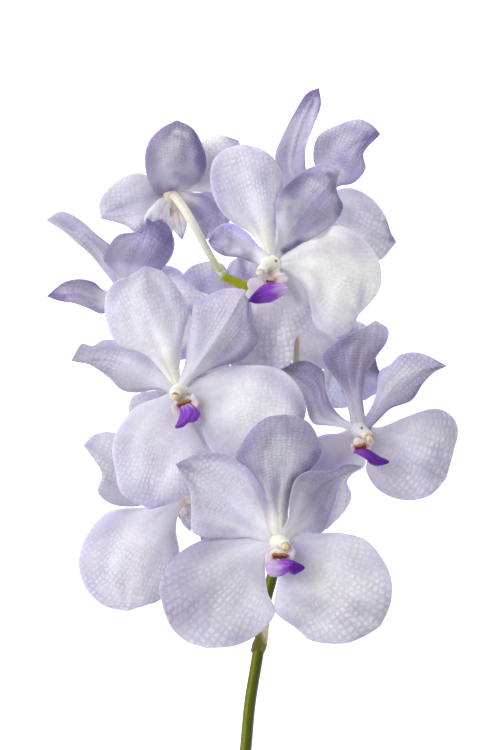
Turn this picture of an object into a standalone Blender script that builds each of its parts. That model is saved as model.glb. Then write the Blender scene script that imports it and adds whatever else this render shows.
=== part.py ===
"""A cut spray of vanda orchids that lies on a surface: ten blooms on one arched stem.

Sizes and places below are millimetres. Across is +X, along the stem towards its tip is +Y, and
heights are above the surface. Places are given as they are seen from straight above, by an eye
EYE_HEIGHT over the surface, and seen() turns them into the model's own metres.
"""

import math
from dataclasses import dataclass, field

import bmesh
import bpy
from mathutils import Matrix, Vector

MM = 0.001

# The eye that the places are seen by, and the height at which they are true to size.
EYE_HEIGHT = 1250.0
TRUE_HEIGHT = 50.0

# The middle of the whole spray, stem included, as seen.
MIDDLE = (-0.6, -66.8)

# Blades. The rib stops are where, along a blade, its rib lies midway between its edges.
BLADE_THICKNESS = 0.7
TIP_CROWDING = 1.15
CLAW_HALF_WIDTH = 2.4
RIB_STOPS = (0.33, 0.62)
SPREAD_POWER = 0.8
WAVES = 2.5
WAVE_LEAD = 1.3

# How close two corners may lie before they are made one
WELD = 0.002

# A blade that rests on the surface, and the height below which its underside is pressed flat.
RESTING = BLADE_THICKNESS / 2
PRESSED = 0.1

# The base that a bloom's tepals share
HUB_RADIUS = 3.6
HUB_DEPTH = 2.4

# Column and cap
GAP = 0.3
COLUMN_RADIUS = 2.0
COLUMN_END_RADIUS = 1.6
CAP_RADIUS = 1.8
CAP_DEPTH = 1.1

# The lip, its foot, and its two side lobes: their half sizes and where they stand on the tongue
LIP_WIDTH = 7.0
LIP_THICKNESS = 2.4
LIP_TAPER = 0.3
FOOT_RADIUS = 1.0
FOOT_REACH = 0.15
FOOT_RISE = 1.7
SIDE_LOBE = (0.6, 2.0, 2.3)
SIDE_LOBE_REACH = 0.14
SIDE_LOBE_ASIDE = 2.2
SIDE_LOBE_UP = 1.3

# Stalks
PEDICEL_ROOT_RADIUS = 1.35
PEDICEL_END_RADIUS = 1.9
PEDICEL_STOPS = 9
PEDICEL_SEAT = 0.7
STEM_RADIUS = 2.5
AXIS_RADIUS = 1.9
STEM_STOPS = 28
AXIS_STOPS = 400
SOCKET_RADIUS = 1.8
SOCKET_LENGTH = 4.5
BRACT_RADIUS = 3.3


@dataclass
class Tepal:
    """One blade: its two edges from claw to tip and its tip, as seen, with heights along its rib.

    Left and right are those of a walker from claw to tip. tilt lifts the right edge and lowers
    the left one, cup lifts both, and wave ripples them.
    """

    left: list
    tip: tuple
    right: list
    heights: tuple
    tilt: float = 0.0
    cup: float = 0.0
    wave: float = 0.6


@dataclass
class Bloom:
    """One flower: hub, cap and the lip's two ends are (across, along, height)."""

    hub: tuple
    cap: tuple
    lip_base: tuple
    lip_tip: tuple
    pedicel: list
    tepals: dict = field(default_factory=dict)
    rows: int = 6
    columns: int = 3


BLOOMS = {
    "low_front": Bloom(
        rows=7, columns=4,
        hub=(11.5, -65, 98),
        cap=(13.7, -66.3, 107),
        lip_base=(10, -71.5, 104),
        lip_tip=(21, -74.7, 109),
        pedicel=[(12.5, -52, 52), (12, -58, 66), (11.5, -63, 82), (11.5, -65, 95)],
        tepals={
            "dorsal_sepal": Tepal(
                left=[
                    (6.5, -58), (4.5, -50), (3.5, -43), (-1, -36),
                    (-5.7, -32.5), (-3, -26), (1, -20.5), (6, -16.5)],
                tip=(13.5, -15.3),
                right=[
                    (14.3, -58), (15, -50), (18, -42), (23.5, -36.5),
                    (27.8, -31), (26.5, -25), (22, -18)],
                heights=(101, 103, 101), tilt=-3, cup=-2),
            "left_petal": Tepal(
                left=[(-1, -61), (-10, -61.5), (-22, -60), (-23, -52), (-23.5, -45)],
                tip=(-29, -34.5),
                right=[(6.5, -56), (5, -45), (-1, -34.5), (-11, -29.8), (-20, -30.5)],
                heights=(96, 93, 92), tilt=2, cup=1),
            "right_petal": Tepal(
                left=[(15.5, -56), (16.5, -48), (18.5, -41), (23, -37.8), (31, -37.2), (37, -34.6)],
                tip=(43.5, -35.4),
                right=[(20, -62), (28, -61), (31.5, -53), (34.5, -43), (38, -38.7)],
                heights=(97, 93, 82), tilt=-6, cup=1),
            "left_sepal": Tepal(
                left=[(6, -71), (5.6, -78), (9.5, -91.5), (2.5, -100.5), (-6, -105)],
                tip=(-17, -106),
                right=[
                    (-6, -63), (-17, -63.5), (-28.5, -69.8),
                    (-35, -80), (-34.5, -88), (-31, -97.5), (-25, -103.3)],
                heights=(96, 95, 90), tilt=-2, cup=-3, wave=1.0),
            "right_sepal": Tepal(
                left=[(22, -61.8), (36, -61.5), (46, -65), (54, -77), (54.5, -88)],
                tip=(50.5, -97.5),
                right=[
                    (12, -73), (11, -82), (10, -90.5), (18, -98),
                    (23.5, -103), (36, -104.2), (44, -101.5)],
                heights=(97, 96, 92), tilt=2, cup=-3, wave=1.0),
        }),
    "left": Bloom(
        rows=7, columns=4,
        hub=(-27.8, -6.5, 76),
        cap=(-29.3, -8.2, 84),
        lip_base=(-24.8, -12, 81),
        lip_tip=(-28, -20.4, 86),
        pedicel=[(9, -20, 52), (-4, -17, 58), (-17, -11, 66), (-26, -7, 73)],
        tepals={
            "dorsal_sepal": Tepal(
                left=[
                    (-33, -1), (-40.5, 7.4), (-51.8, 12.4), (-56.2, 22),
                    (-56, 31), (-52.5, 36.2), (-47, 38.2)],
                tip=(-41, 42.4),
                right=[(-27.5, 1), (-26.8, 10), (-25.4, 18), (-24, 25), (-27.5, 32.5), (-34, 40)],
                heights=(80, 80, 77), tilt=-1, cup=-2, wave=0.8),
            "left_petal": Tepal(
                left=[(-36, -5.8), (-44, -6.8), (-50, -5.8), (-55, -1), (-63, 4.3)],
                tip=(-69.6, 5.6),
                right=[(-33.5, 0), (-40, 9.5), (-48, 13), (-57, 13.6), (-61.5, 11.3), (-65.5, 12.2)],
                heights=(74, 72, 71), tilt=3, cup=1),
            "right_petal": Tepal(
                left=[(-25.8, 3), (-24.3, 13), (-22.5, 25), (-19, 30.3), (-12, 34)],
                tip=(-5.5, 35.5),
                right=[(-21.5, -1), (-13, 3), (-3, 6), (2.8, 12.5), (2.2, 17), (-1, 21.8), (-2, 27.5)],
                heights=(82, 86, 84), tilt=-1, cup=-1),
            "right_sepal": Tepal(
                left=[(-20, -1.5), (-10, 2.8), (2, 3.9), (12.2, 1.9), (18.8, -4.7), (21.5, -13)],
                tip=(20, -20),
                right=[(-21, -12), (-18, -22), (-10.3, -28.7), (2, -30.5), (13, -26)],
                heights=(78, 80, 79), tilt=1, cup=-1),
            "left_sepal": Tepal(
                left=[(-23, -14), (-17.5, -22), (-12, -31), (-17, -41), (-27, -48.5)],
                tip=(-39, -52.2),
                right=[
                    (-35, -8.5), (-44, -12), (-50.6, -19.4),
                    (-53.6, -28), (-52.6, -36), (-50, -46)],
                heights=(74, 73, 71), tilt=-1, cup=-2),
        }),
    "top_front": Bloom(
        rows=7, columns=4,
        hub=(8, 43, 94),
        cap=(3.6, 39.8, 103),
        lip_base=(12.5, 35.5, 100),
        lip_tip=(-0.8, 28.6, 104),
        pedicel=[
            (11.6, -14, 51), (15.5, -9, 57), (17.6, 3, 62),
            (17.6, 15, 68), (14.5, 32, 78), (12, 43, 85.5)],
        tepals={
            "dorsal_sepal": Tepal(
                left=[
                    (4, 50), (0, 55.2), (-8, 60), (-13, 66),
                    (-15.6, 75), (-14.5, 83), (-10, 87.4)],
                tip=(-2.5, 89.6),
                right=[(9.6, 51), (10.3, 60), (11.5, 69), (13.2, 75), (9.5, 83.4), (4.5, 87.6)],
                heights=(97, 96, 92), cup=-2),
            "left_petal": Tepal(
                left=[(1, 43.5), (-5, 45.5), (-10, 46.2), (-14, 48.4)],
                tip=(-16.5, 52),
                right=[(2.4, 51), (-2, 56), (-8, 59), (-13.5, 57)],
                heights=(90, 80, 70), tilt=6, cup=1),
            "right_petal": Tepal(
                left=[(10.5, 52), (10, 61), (12, 71), (17, 76.8), (22, 80.2)],
                tip=(27.5, 81.7),
                right=[(15, 47.5), (22, 51.8), (31, 57.5), (36, 65), (33.5, 71), (31.5, 77)],
                heights=(94, 91, 86), tilt=-4, cup=1),
            "right_sepal": Tepal(
                left=[(15, 48), (24, 53.5), (34, 58), (44, 52.5), (50, 43.7), (50, 33)],
                tip=(42, 23.3),
                right=[(14, 40.5), (20, 34.5), (23.4, 26), (25, 19), (32, 15), (38, 16.5)],
                heights=(93, 90, 85), tilt=1, cup=-3),
            "left_sepal": Tepal(
                left=[(14, 38.5), (20, 33), (24, 26), (22.5, 19.5), (17.5, 14), (15.6, 6)],
                tip=(9.5, 2.8),
                right=[(3.5, 38.5), (-0.5, 32), (-1, 22), (-3, 14), (-5.5, 7), (-3, 3.2)],
                heights=(83, 74, 72), tilt=-2, cup=1),
        }),
    "right": Bloom(
        rows=7, columns=4,
        hub=(42.5, -21.5, 74),
        cap=(46.2, -24.4, 83),
        lip_base=(42.5, -29, 79),
        lip_tip=(53.6, -33.4, 83),
        pedicel=[(15.5, -30, 52), (24, -28, 58), (34, -24.5, 66), (41, -22, 71.5)],
        tepals={
            "dorsal_sepal": Tepal(
                left=[(38.3, -15), (37, -9), (34, -3), (27.7, 7), (33, 12.5), (43, 17.6)],
                tip=(48.5, 21.2),
                right=[(44.2, -15), (43.5, -8), (45, 0.5), (49, 7.4), (53, 13.2), (53.3, 18)],
                heights=(78, 80, 76), tilt=-1, cup=1),
            "left_petal": Tepal(
                left=[(36, -20.6), (30.5, -19.7), (24, -18.5), (20.5, -9), (16, -1.5)],
                tip=(11, 2.8),
                right=[(37.2, -17.6), (32, -12.5), (29, -5.5), (28.2, 1.5), (22.5, 5.4), (16, 4.7)],
                heights=(72, 69, 68), tilt=-2, cup=1),
            "right_petal": Tepal(
                left=[(45.6, -14.8), (48.8, -7.5), (50.3, 2), (57.5, 8.2), (66, 8.5)],
                tip=(76.2, 3.6),
                right=[(49.6, -17.6), (54.5, -13), (62.5, -9.8), (67, -3.2), (71.5, 1.3)],
                heights=(76, 78, 75), tilt=2, cup=1),
            "right_sepal": Tepal(
                left=[(50, -20.3), (61, -16), (72, -13), (78.5, -16.3), (80.5, -22), (79, -29)],
                tip=(76, -40),
                right=[(46, -29), (44.9, -37), (50, -44.8), (60, -48.6), (70, -46.5)],
                heights=(73, 74, 70), cup=-2, wave=1.0),
            "left_sepal": Tepal(
                left=[(44.5, -35), (39.5, -38.5), (37.5, -41.5), (39.2, -47), (36.5, -53)],
                tip=(29.5, -60),
                right=[(36, -22.5), (27, -23.6), (20, -30), (18, -42), (21, -53)],
                heights=(70, 67, 64), tilt=4, cup=0),
        }),
    "back_view": Bloom(
        hub=(-30.5, 70, 60),
        cap=(-30.6, 68.5, 50),
        lip_base=(-29.2, 64.5, 54.5),
        lip_tip=(-26.5, 54.5, 51),
        pedicel=[(-10.5, 38, 62), (-16, 47, 70), (-23, 60, 72), (-28.5, 68.5, 65)],
        tepals={
            "dorsal_sepal": Tepal(
                left=[(-36.5, 69.8), (-39.5, 75), (-41, 83), (-39.5, 90.5), (-34.5, 95.8)],
                tip=(-28.5, 98.9),
                right=[(-24, 72.3), (-18.7, 76), (-17.1, 82), (-18.6, 89), (-22.5, 95.8)],
                heights=(66, 68, 69), cup=-3),
            "left_petal": Tepal(
                left=[(-36, 63), (-43, 54.8), (-49, 58.2)],
                tip=(-58.2, 60.8),
                right=[(-36, 74.5), (-43, 78.4), (-52, 75), (-58.5, 67.5)],
                heights=(56, 53, 52), tilt=1, cup=-2),
            "right_petal": Tepal(
                left=[(-27, 76), (-22.5, 84), (-18.5, 90.7), (-13, 93.4)],
                tip=(-4.5, 91),
                right=[(-23, 71), (-14, 71), (-7, 76), (-3, 84)],
                heights=(56, 54, 54), cup=-1),
            "left_sepal": Tepal(
                left=[(-34, 62), (-34.5, 54), (-36.5, 47)],
                tip=(-41, 43),
                right=[(-38, 66.5), (-43, 58), (-46, 49)],
                heights=(55, 50, 44)),
            "right_sepal": Tepal(
                left=[(-22, 70.8), (-14, 70.3), (-8, 65), (-9, 58)],
                tip=(-17, 52.5),
                right=[(-26, 65), (-23, 59), (-19.5, 54)],
                heights=(56, 52, 48)),
        }),
    "far_left": Bloom(
        hub=(-48.5, 32, 42),
        cap=(-52, 32.5, 50),
        lip_base=(-49, 27, 48),
        lip_tip=(-49.5, 18, 54),
        pedicel=[(0, 26, 48), (-14, 29, 40), (-30, 34, 34), (-42, 37.5, 35)],
        tepals={
            "dorsal_sepal": Tepal(
                left=[(-53.3, 35.5), (-56.7, 40), (-62.3, 46.9), (-68, 51.7), (-74, 57)],
                tip=(-79.5, 60.3),
                right=[(-49.5, 43), (-53.6, 49.7), (-60, 54.8), (-66.5, 60.5), (-73.5, 63.6)],
                heights=(44, 50, 56), tilt=7, cup=2),
            "right_petal": Tepal(
                left=[(-52.5, 40), (-57.4, 45.3), (-53.5, 51), (-48.5, 54.8), (-43, 56)],
                tip=(-39.8, 60.8),
                right=[(-42, 35.5), (-35, 40.5), (-31, 46), (-29.4, 51.3), (-31.7, 57)],
                heights=(50, 58, 60), cup=-3),
            "left_petal": Tepal(
                left=[(-57, 23.8), (-63, 25.8), (-68.5, 27.8), (-74, 28.7)],
                tip=(-79, 30.5),
                right=[(-56.5, 32.8), (-61, 36.2), (-67, 37.2), (-73, 35.6)],
                heights=(43, 42, 40), tilt=-4, cup=2),
            "right_sepal": Tepal(
                left=[(-42, 37), (-34, 42.4), (-28, 41), (-24, 36.5)],
                tip=(-22.5, 31),
                right=[(-44, 27), (-36, 21), (-28, 23)],
                heights=(41, 42, 42), cup=-1),
            "left_sepal": Tepal(
                left=[(-44, 26), (-37, 19), (-36, 12)],
                tip=(-44, 4),
                right=[(-52, 26), (-52, 18), (-48, 9)],
                heights=(16, RESTING, RESTING), wave=0),
        }),
    "top_back": Bloom(
        hub=(28.9, 66, 44),
        cap=(30, 67.5, 54),
        lip_base=(28, 61, 49),
        lip_tip=(25, 53, 56),
        pedicel=[(4.5, 24, 49), (8, 36, 37), (13, 53, 31), (22, 67, 32)],
        tepals={
            "dorsal_sepal": Tepal(
                left=[(18, 72), (12, 78.5), (9.6, 85), (13.3, 94.6), (17.6, 102.7), (22, 109.4)],
                tip=(26.6, 111.4),
                right=[(24.5, 73), (21.5, 80), (21.4, 88), (24.2, 96), (27.3, 104.5)],
                heights=(46, 50, 56), tilt=6, cup=2),
            "right_petal": Tepal(
                left=[(26.5, 76), (24.3, 85), (26.5, 93), (34.5, 97.3), (42, 99.3), (47, 97.2)],
                tip=(50.4, 93.5),
                right=[(33.5, 72.8), (40, 74.5), (44.6, 80), (43.9, 86)],
                heights=(48, 52, 50), cup=2, wave=1.5),
            "right_sepal": Tepal(
                left=[(33, 71.5), (39, 72.6), (46.5, 69), (52, 62.5), (54.6, 55)],
                tip=(56.6, 51.6),
                right=[(33, 60), (36, 52), (42, 46.5), (50, 44.5)],
                heights=(44, 46, 42), cup=-2),
            "left_petal": Tepal(
                left=[(21, 60), (13, 52), (6, 49)],
                tip=(1, 55),
                right=[(20, 68), (11, 69), (3, 64)],
                heights=(41, 40, 40), cup=-1),
            "left_sepal": Tepal(
                left=[(40, 58), (47, 48), (45, 38)],
                tip=(37, 32),
                right=[(28, 57), (27, 48), (28, 38)],
                heights=(15, RESTING, RESTING), wave=0),
        }),
    "low_back": Bloom(
        hub=(-25.8, -47.5, 40),
        cap=(-25.5, -49, 31),
        lip_base=(-26.5, -53, 33),
        lip_tip=(-24.5, -62, 30),
        pedicel=[(9, -48, 48), (-3, -49, 46), (-15, -48.5, 44.5), (-22.5, -48, 43)],
        tepals={
            "left_sepal": Tepal(
                left=[
                    (-28, -54), (-28.8, -61), (-27.5, -69),
                    (-29, -80), (-35.5, -87.5), (-41, -89.5)],
                tip=(-48, -91.7),
                right=[
                    (-38, -51), (-49, -51.6), (-57, -54), (-64.5, -64),
                    (-66.6, -74), (-64, -82.5), (-57, -89.5)],
                heights=(39, 38, 34), cup=-3, wave=1.0),
            "left_petal": Tepal(
                left=[(-36, -49), (-45, -51), (-54, -50), (-59.2, -45.5), (-57.8, -38)],
                tip=(-64.8, -27.2),
                right=[(-33, -41), (-39, -32), (-47, -25), (-54, -22.2), (-60.5, -23)],
                heights=(42, 45, 44), cup=-1, wave=1.0),
            "dorsal_sepal": Tepal(
                left=[(-31, -38), (-41, -27), (-47, -16), (-46.3, -9)],
                tip=(-42, -6.6),
                right=[(-24, -38), (-24, -26), (-28, -14), (-35, -8)],
                heights=(38, 36, 38), cup=-2),
            "right_petal": Tepal(
                left=[(-21, -39), (-14, -34), (-8, -35)],
                tip=(-3, -40),
                right=[(-19, -50), (-10, -51), (-4, -47)],
                heights=(34, 30, 28)),
            "right_sepal": Tepal(
                left=[(-18, -52), (-8, -56), (-1, -64)],
                tip=(-4, -76),
                right=[(-20.5, -57), (-18.5, -68), (-12, -77)],
                heights=(35, 30, 26)),
        }),
    "right_back": Bloom(
        hub=(40, 4, 22),
        cap=(42, 5.5, 31),
        lip_base=(39.5, -0.5, 29),
        lip_tip=(38, -9, 34),
        pedicel=[(13.5, -14, 47), (18, -11, 34), (26, -6, 18), (36, 2, 14)],
        tepals={
            "dorsal_sepal": Tepal(
                left=[(35, 10), (33.5, 16), (35.5, 20)],
                tip=(40.5, 21.4),
                right=[(43, 10), (47, 14), (45, 19)],
                heights=(25, 28, 28), cup=1),
            "left_petal": Tepal(
                left=[(33, 1), (26, 3), (18, 6)],
                tip=(9, 14),
                right=[(37, 11), (32, 16), (24.5, 19.3), (16, 20)],
                heights=(24, 22, 20), cup=1),
            "right_petal": Tepal(
                left=[(44, 8), (49, 7), (55, 4)],
                tip=(64, -2),
                right=[(43, -3), (45, -9), (48.5, -7.4), (58, -9)],
                heights=(22, 20, 20), cup=1),
            "right_sepal": Tepal(
                left=[(43, -3), (43, -16), (49, -25)],
                tip=(50, -32),
                right=[(39, -4), (38.5, -16), (42, -27)],
                heights=(18, 14, 10)),
            "left_sepal": Tepal(
                left=[(38, -2), (38.5, -8), (38, -12.2)],
                tip=(33, -13),
                right=[(33, 2), (28.5, -3), (28.3, -9.5)],
                heights=(20, 18, 16), cup=1),
        }),
    "left_back": Bloom(
        hub=(-12, 17, 24),
        cap=(-12.2, 15.5, 14),
        lip_base=(-12, 12, 16),
        lip_tip=(-11, 2, 9),
        pedicel=[(7, 15.5, 49), (1, 16.5, 43), (-6, 17, 36), (-10.5, 17, 30)],
        tepals={
            "dorsal_sepal": Tepal(
                left=[(-18, 24), (-25.5, 32), (-26, 39), (-22, 42.7)],
                tip=(-16.5, 44.2),
                right=[(-11, 25), (-10.5, 36), (-12, 42.5)],
                heights=(26, 27, 27), cup=1),
            "right_petal": Tepal(
                left=[(-10, 26), (-10, 36), (-8, 43.5)],
                tip=(-2, 46.5),
                right=[(-4, 22), (2, 30), (3, 40)],
                heights=(22, 24, 26), cup=1),
            "left_petal": Tepal(
                left=[(-18, 12), (-26, 6), (-33, 8)],
                tip=(-35, 14),
                right=[(-18, 20), (-26, 21), (-32, 19)],
                heights=(21, 18, 16)),
            "left_sepal": Tepal(
                left=[(-11, 8), (-9, -4), (-11, -14)],
                tip=(-17, -18),
                right=[(-16, 9), (-21, -2), (-22, -12)],
                heights=(22, 20, 18)),
            "right_sepal": Tepal(
                left=[(-5, 13), (6, 9), (12, 1)],
                tip=(9, -9),
                right=[(-7, 9), (-5, 0), (2, -8)],
                heights=(20, 14, 10)),
        }),
}

# The stem from its cut end to the tip of the raceme, and its thickness along it.
STEM = [
    (-7, -235, 2.4), (-7, -215, 5), (-6, -190, 15), (-4, -165, 27), (-1.9, -145, 36),
    (-0.2, -127, 43), (2.4, -111, 48), (4.6, -97, 50), (5.8, -88, 50), (8.2, -79, 50), (11, -68, 50),
    (12.3, -50, 50), (11.5, -25, 50), (10.5, -5, 50), (8, 12, 50), (4, 24, 51), (-1, 33.5, 54),
    (-6.5, 36.5, 58), (-10, 38, 61),
]
BRACT_BASE = (2.9, -107.2, 48.5)
BRACT_TIP = (6.3, -96.5, 52.5)

COLOURS = {
    "tepal": ((0.70, 0.69, 0.86, 1), 0.55),
    "lip": ((0.24, 0.07, 0.52, 1), 0.45),
    "column": ((0.90, 0.88, 0.84, 1), 0.45),
    "cap": ((0.75, 0.52, 0.28, 1), 0.5),
    "pedicel": ((0.86, 0.85, 0.74, 1), 0.5),
    "stem": ((0.22, 0.27, 0.03, 1), 0.5),
}


def seen(across, along, height):
    """The place, in metres, of what is seen at (across, along) and lies at this height."""
    shrink = (EYE_HEIGHT - height) / (EYE_HEIGHT - TRUE_HEIGHT)
    x = across * shrink - MIDDLE[0]
    y = along * shrink - MIDDLE[1]
    return Vector((x, y, height)) * MM


def smooth_point(points, fraction):
    """The point at a fraction of the length of a smooth curve through the points."""
    steps = [(b - a).length for a, b in zip(points, points[1:])]
    target = fraction * sum(steps)
    index = 0
    while index < len(steps) - 1 and target > steps[index]:
        target -= steps[index]
        index += 1
    before = points[max(index - 1, 0)]
    start = points[index]
    end = points[index + 1]
    after = points[min(index + 2, len(points) - 1)]
    step = steps[index]
    leave = (end - before) / (step + (steps[index - 1] if index else 0.0))
    arrive = (after - start) / (step + (steps[index + 1] if index + 1 < len(steps) else 0.0))
    u = target / step
    return (
        start * (2 * u**3 - 3 * u**2 + 1)
        + leave * step * (u**3 - 2 * u**2 + u)
        + end * (3 * u**2 - 2 * u**3)
        + arrive * step * (u**3 - u**2)
    )


class Blade:
    """The surface of a tepal: point(t, s), with t from claw to tip and s from left to right."""

    def __init__(self, tepal, hub):
        base = Vector(hub[:2])
        left = [Vector(p) for p in tepal.left]
        right = [Vector(p) for p in tepal.right]
        tip = Vector(tepal.tip)
        ahead = ((left[0] + right[0]) / 2 - base).normalized()
        aside = Vector((-ahead.y, ahead.x)) * CLAW_HALF_WIDTH
        self.left = [base + aside, *left, tip]
        self.right = [base - aside, *right, tip]
        middle = [
            (smooth_point(self.left, t) + smooth_point(self.right, t)) / 2 for t in RIB_STOPS
        ]
        self.rib = [base, *middle, tip]
        self.heights = (hub[2], *tepal.heights)
        self.tepal = tepal

    def point(self, t, s):
        left = smooth_point(self.left, t)
        rib = smooth_point(self.rib, t)
        right = smooth_point(self.right, t)
        flat = left * (s * (s - 1) / 2) + rib * (1 - s * s) + right * (s * (s + 1) / 2)
        return seen(flat.x, flat.y, self.height(t, s))

    def height(self, t, s):
        span = t * (len(self.heights) - 1)
        index = min(int(span), len(self.heights) - 2)
        part = span - index
        ease = part * part * (3 - 2 * part)
        along = self.heights[index] * (1 - ease) + self.heights[index + 1] * ease
        spread = math.sin(math.pi * t) ** SPREAD_POWER
        ripple = math.sin(2 * math.pi * WAVES * t + (WAVE_LEAD if s > 0 else 0.0))
        lift = self.tepal.tilt * s + self.tepal.cup * s * s + self.tepal.wave * ripple * s * s
        return along + spread * lift


def material(name):
    colour, roughness = COLOURS[name]
    found = bpy.data.materials.get(name)
    if found:
        return found
    made = bpy.data.materials.new(name)
    made.use_nodes = True
    shader = made.node_tree.nodes["Principled BSDF"]
    shader.inputs["Base Color"].default_value = colour
    shader.inputs["Roughness"].default_value = roughness
    return made


def add_object(name, bm, collection, finish):
    """A bmesh as an object with its material."""
    mesh = bpy.data.meshes.new(name)
    bm.to_mesh(mesh)
    bm.free()
    mesh.materials.append(material(finish))
    made = bpy.data.objects.new(name, mesh)
    collection.objects.link(made)
    return made


def mesh_of(made):
    """The object's mesh as its modifiers leave it."""
    graph = bpy.context.evaluated_depsgraph_get()
    return bpy.data.meshes.new_from_object(made.evaluated_get(graph))


def weld(mesh):
    """Closes the hair-thin slivers that a union leaves."""
    bm = bmesh.new()
    bm.from_mesh(mesh)
    bmesh.ops.remove_doubles(bm, verts=bm.verts, dist=WELD * MM)
    bmesh.ops.dissolve_degenerate(bm, dist=WELD * MM, edges=bm.edges)
    bmesh.ops.triangulate(bm, faces=bm.faces)
    bm.to_mesh(mesh)
    bm.free()


def fuse(base, pieces):
    """Joins the pieces into the base with one Boolean union and removes them."""
    group = bpy.data.collections.new(base.name + "_pieces")
    bpy.context.scene.collection.children.link(group)
    for piece in pieces:
        for home in list(piece.users_collection):
            home.objects.unlink(piece)
        group.objects.link(piece)
    union = base.modifiers.new("Fuse", "BOOLEAN")
    union.operation = "UNION"
    union.operand_type = "COLLECTION"
    union.collection = group
    union.solver = "EXACT"
    joined = mesh_of(base)
    weld(joined)
    base.modifiers.clear()
    old = base.data
    base.data = joined
    bpy.data.meshes.remove(old)
    for piece in pieces:
        bpy.data.objects.remove(piece)
    bpy.data.collections.remove(group)


def ball(name, centre, size, turn, collection, finish, segments=8, rings=6):
    """A ball of the three half sizes, turned by a matrix and set at its centre."""
    bm = bmesh.new()
    bmesh.ops.create_uvsphere(bm, u_segments=segments, v_segments=rings, radius=1.0)
    place = Matrix.Translation(centre) @ turn.to_4x4() @ Matrix.Diagonal((*size, 1.0))
    bmesh.ops.transform(bm, matrix=place, verts=bm.verts)
    return add_object(name, bm, collection, finish)


def facing(axis, up):
    """The turn whose third axis is axis and whose second lies towards up."""
    third = axis.normalized()
    first = up.cross(third).normalized()
    second = third.cross(first)
    return Matrix((first, second, third)).transposed()


def tepal_blade(name, tepal, bloom, collection):
    """One tepal as a thin closed blade, with its rows closer together near the tip."""
    blade = Blade(tepal, bloom.hub)
    bm = bmesh.new()
    bmesh.ops.create_grid(bm, x_segments=bloom.columns, y_segments=bloom.rows, size=1.0)
    for vertex in bm.verts:
        left_over = (1 - vertex.co.y) / 2
        vertex.co = blade.point(1 - left_over**TIP_CROWDING, vertex.co.x)
    bmesh.ops.remove_doubles(bm, verts=bm.verts, dist=0.00001)
    bmesh.ops.triangulate(bm, faces=bm.faces, quad_method="FIXED")
    made = add_object(name, bm, collection, "tepal")
    shell = made.modifiers.new("Thickness", "SOLIDIFY")
    shell.thickness = BLADE_THICKNESS * MM
    shell.offset = 0.0
    return made


def press_flat(made):
    """Flattens what would reach below the surface that the spray lies on."""
    for vertex in made.data.vertices:
        if vertex.co.z < PRESSED * MM:
            vertex.co.z = 0.0


def add_tepals(name, bloom, collection):
    """The five tepals of a bloom, fused with the base that they share."""
    hub = seen(*bloom.hub)
    turn = facing(seen(*bloom.cap) - hub, Vector((0, 1, 0)))
    size = (HUB_RADIUS * MM, HUB_RADIUS * MM, HUB_DEPTH * MM)
    made = ball(name + "_tepals", hub, size, turn, collection, "tepal")
    blades = [
        tepal_blade(f"{name}_{kind}", tepal, bloom, collection)
        for kind, tepal in bloom.tepals.items()
    ]
    fuse(made, blades)
    press_flat(made)
    return made


def add_column(name, bloom, collection):
    """The column stands on the base and carries the cap a hair's breadth off its end."""
    hub = seen(*bloom.hub)
    cap = seen(*bloom.cap)
    axis = (cap - hub).normalized()
    start = hub + axis * (HUB_DEPTH + GAP) * MM
    end = cap - axis * (CAP_DEPTH + GAP) * MM
    turn = facing(axis, Vector((0, 1, 0)))
    bm = bmesh.new()
    bmesh.ops.create_cone(
        bm, cap_ends=True, segments=10, radius1=COLUMN_RADIUS * MM,
        radius2=COLUMN_END_RADIUS * MM, depth=(end - start).length)
    place = Matrix.Translation((start + end) / 2) @ turn.to_4x4()
    bmesh.ops.transform(bm, matrix=place, verts=bm.verts)
    add_object(name + "_column", bm, collection, "column")
    size = (CAP_RADIUS * MM, CAP_RADIUS * MM, CAP_DEPTH * MM)
    ball(name + "_cap", cap, size, turn, collection, "cap", segments=8, rings=4)


def add_lip(name, bloom, collection):
    """The lip: a tapered tongue with two small upright lobes, on a foot beside the column."""
    hub = seen(*bloom.hub)
    base = seen(*bloom.lip_base)
    tip = seen(*bloom.lip_tip)
    forward = (seen(*bloom.cap) - hub).normalized()
    turn = facing(tip - base, (seen(*bloom.cap) - base).normalized() + forward)
    aside, up, ahead = turn.col
    middle = (base + tip) / 2
    half = (tip - base).length / 2
    size = (LIP_WIDTH / 2 * MM, LIP_THICKNESS / 2 * MM, half)
    made = ball(name + "_lip", middle, size, turn, collection, "lip", rings=5)
    for vertex in made.data.vertices:
        along = (vertex.co - middle).dot(ahead) / half
        vertex.co -= aside * (vertex.co - middle).dot(aside) * LIP_TAPER * along
    lobe = [part * MM for part in SIDE_LOBE]
    stand = base.lerp(tip, SIDE_LOBE_REACH) + up * SIDE_LOBE_UP * MM
    pieces = [
        ball(name + "_side_lobe", stand + aside * side * SIDE_LOBE_ASIDE * MM, lobe, turn, collection,
             "lip", segments=6, rings=4)
        for side in (-1, 1)
    ]
    out = base - hub
    out = (out - forward * out.dot(forward)).normalized()
    foot = hub + (out * (COLUMN_RADIUS + FOOT_RADIUS + GAP) + forward * FOOT_RISE) * MM
    inner = base.lerp(tip, FOOT_REACH)
    size = (FOOT_RADIUS * MM, FOOT_RADIUS * MM, (inner - foot).length / 2)
    turn = facing(inner - foot, Vector((0, 0, 1)))
    middle = (inner + foot) / 2
    pieces.append(
        ball(name + "_foot", middle, size, turn, collection, "lip", segments=6, rings=5))
    fuse(made, pieces)


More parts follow.
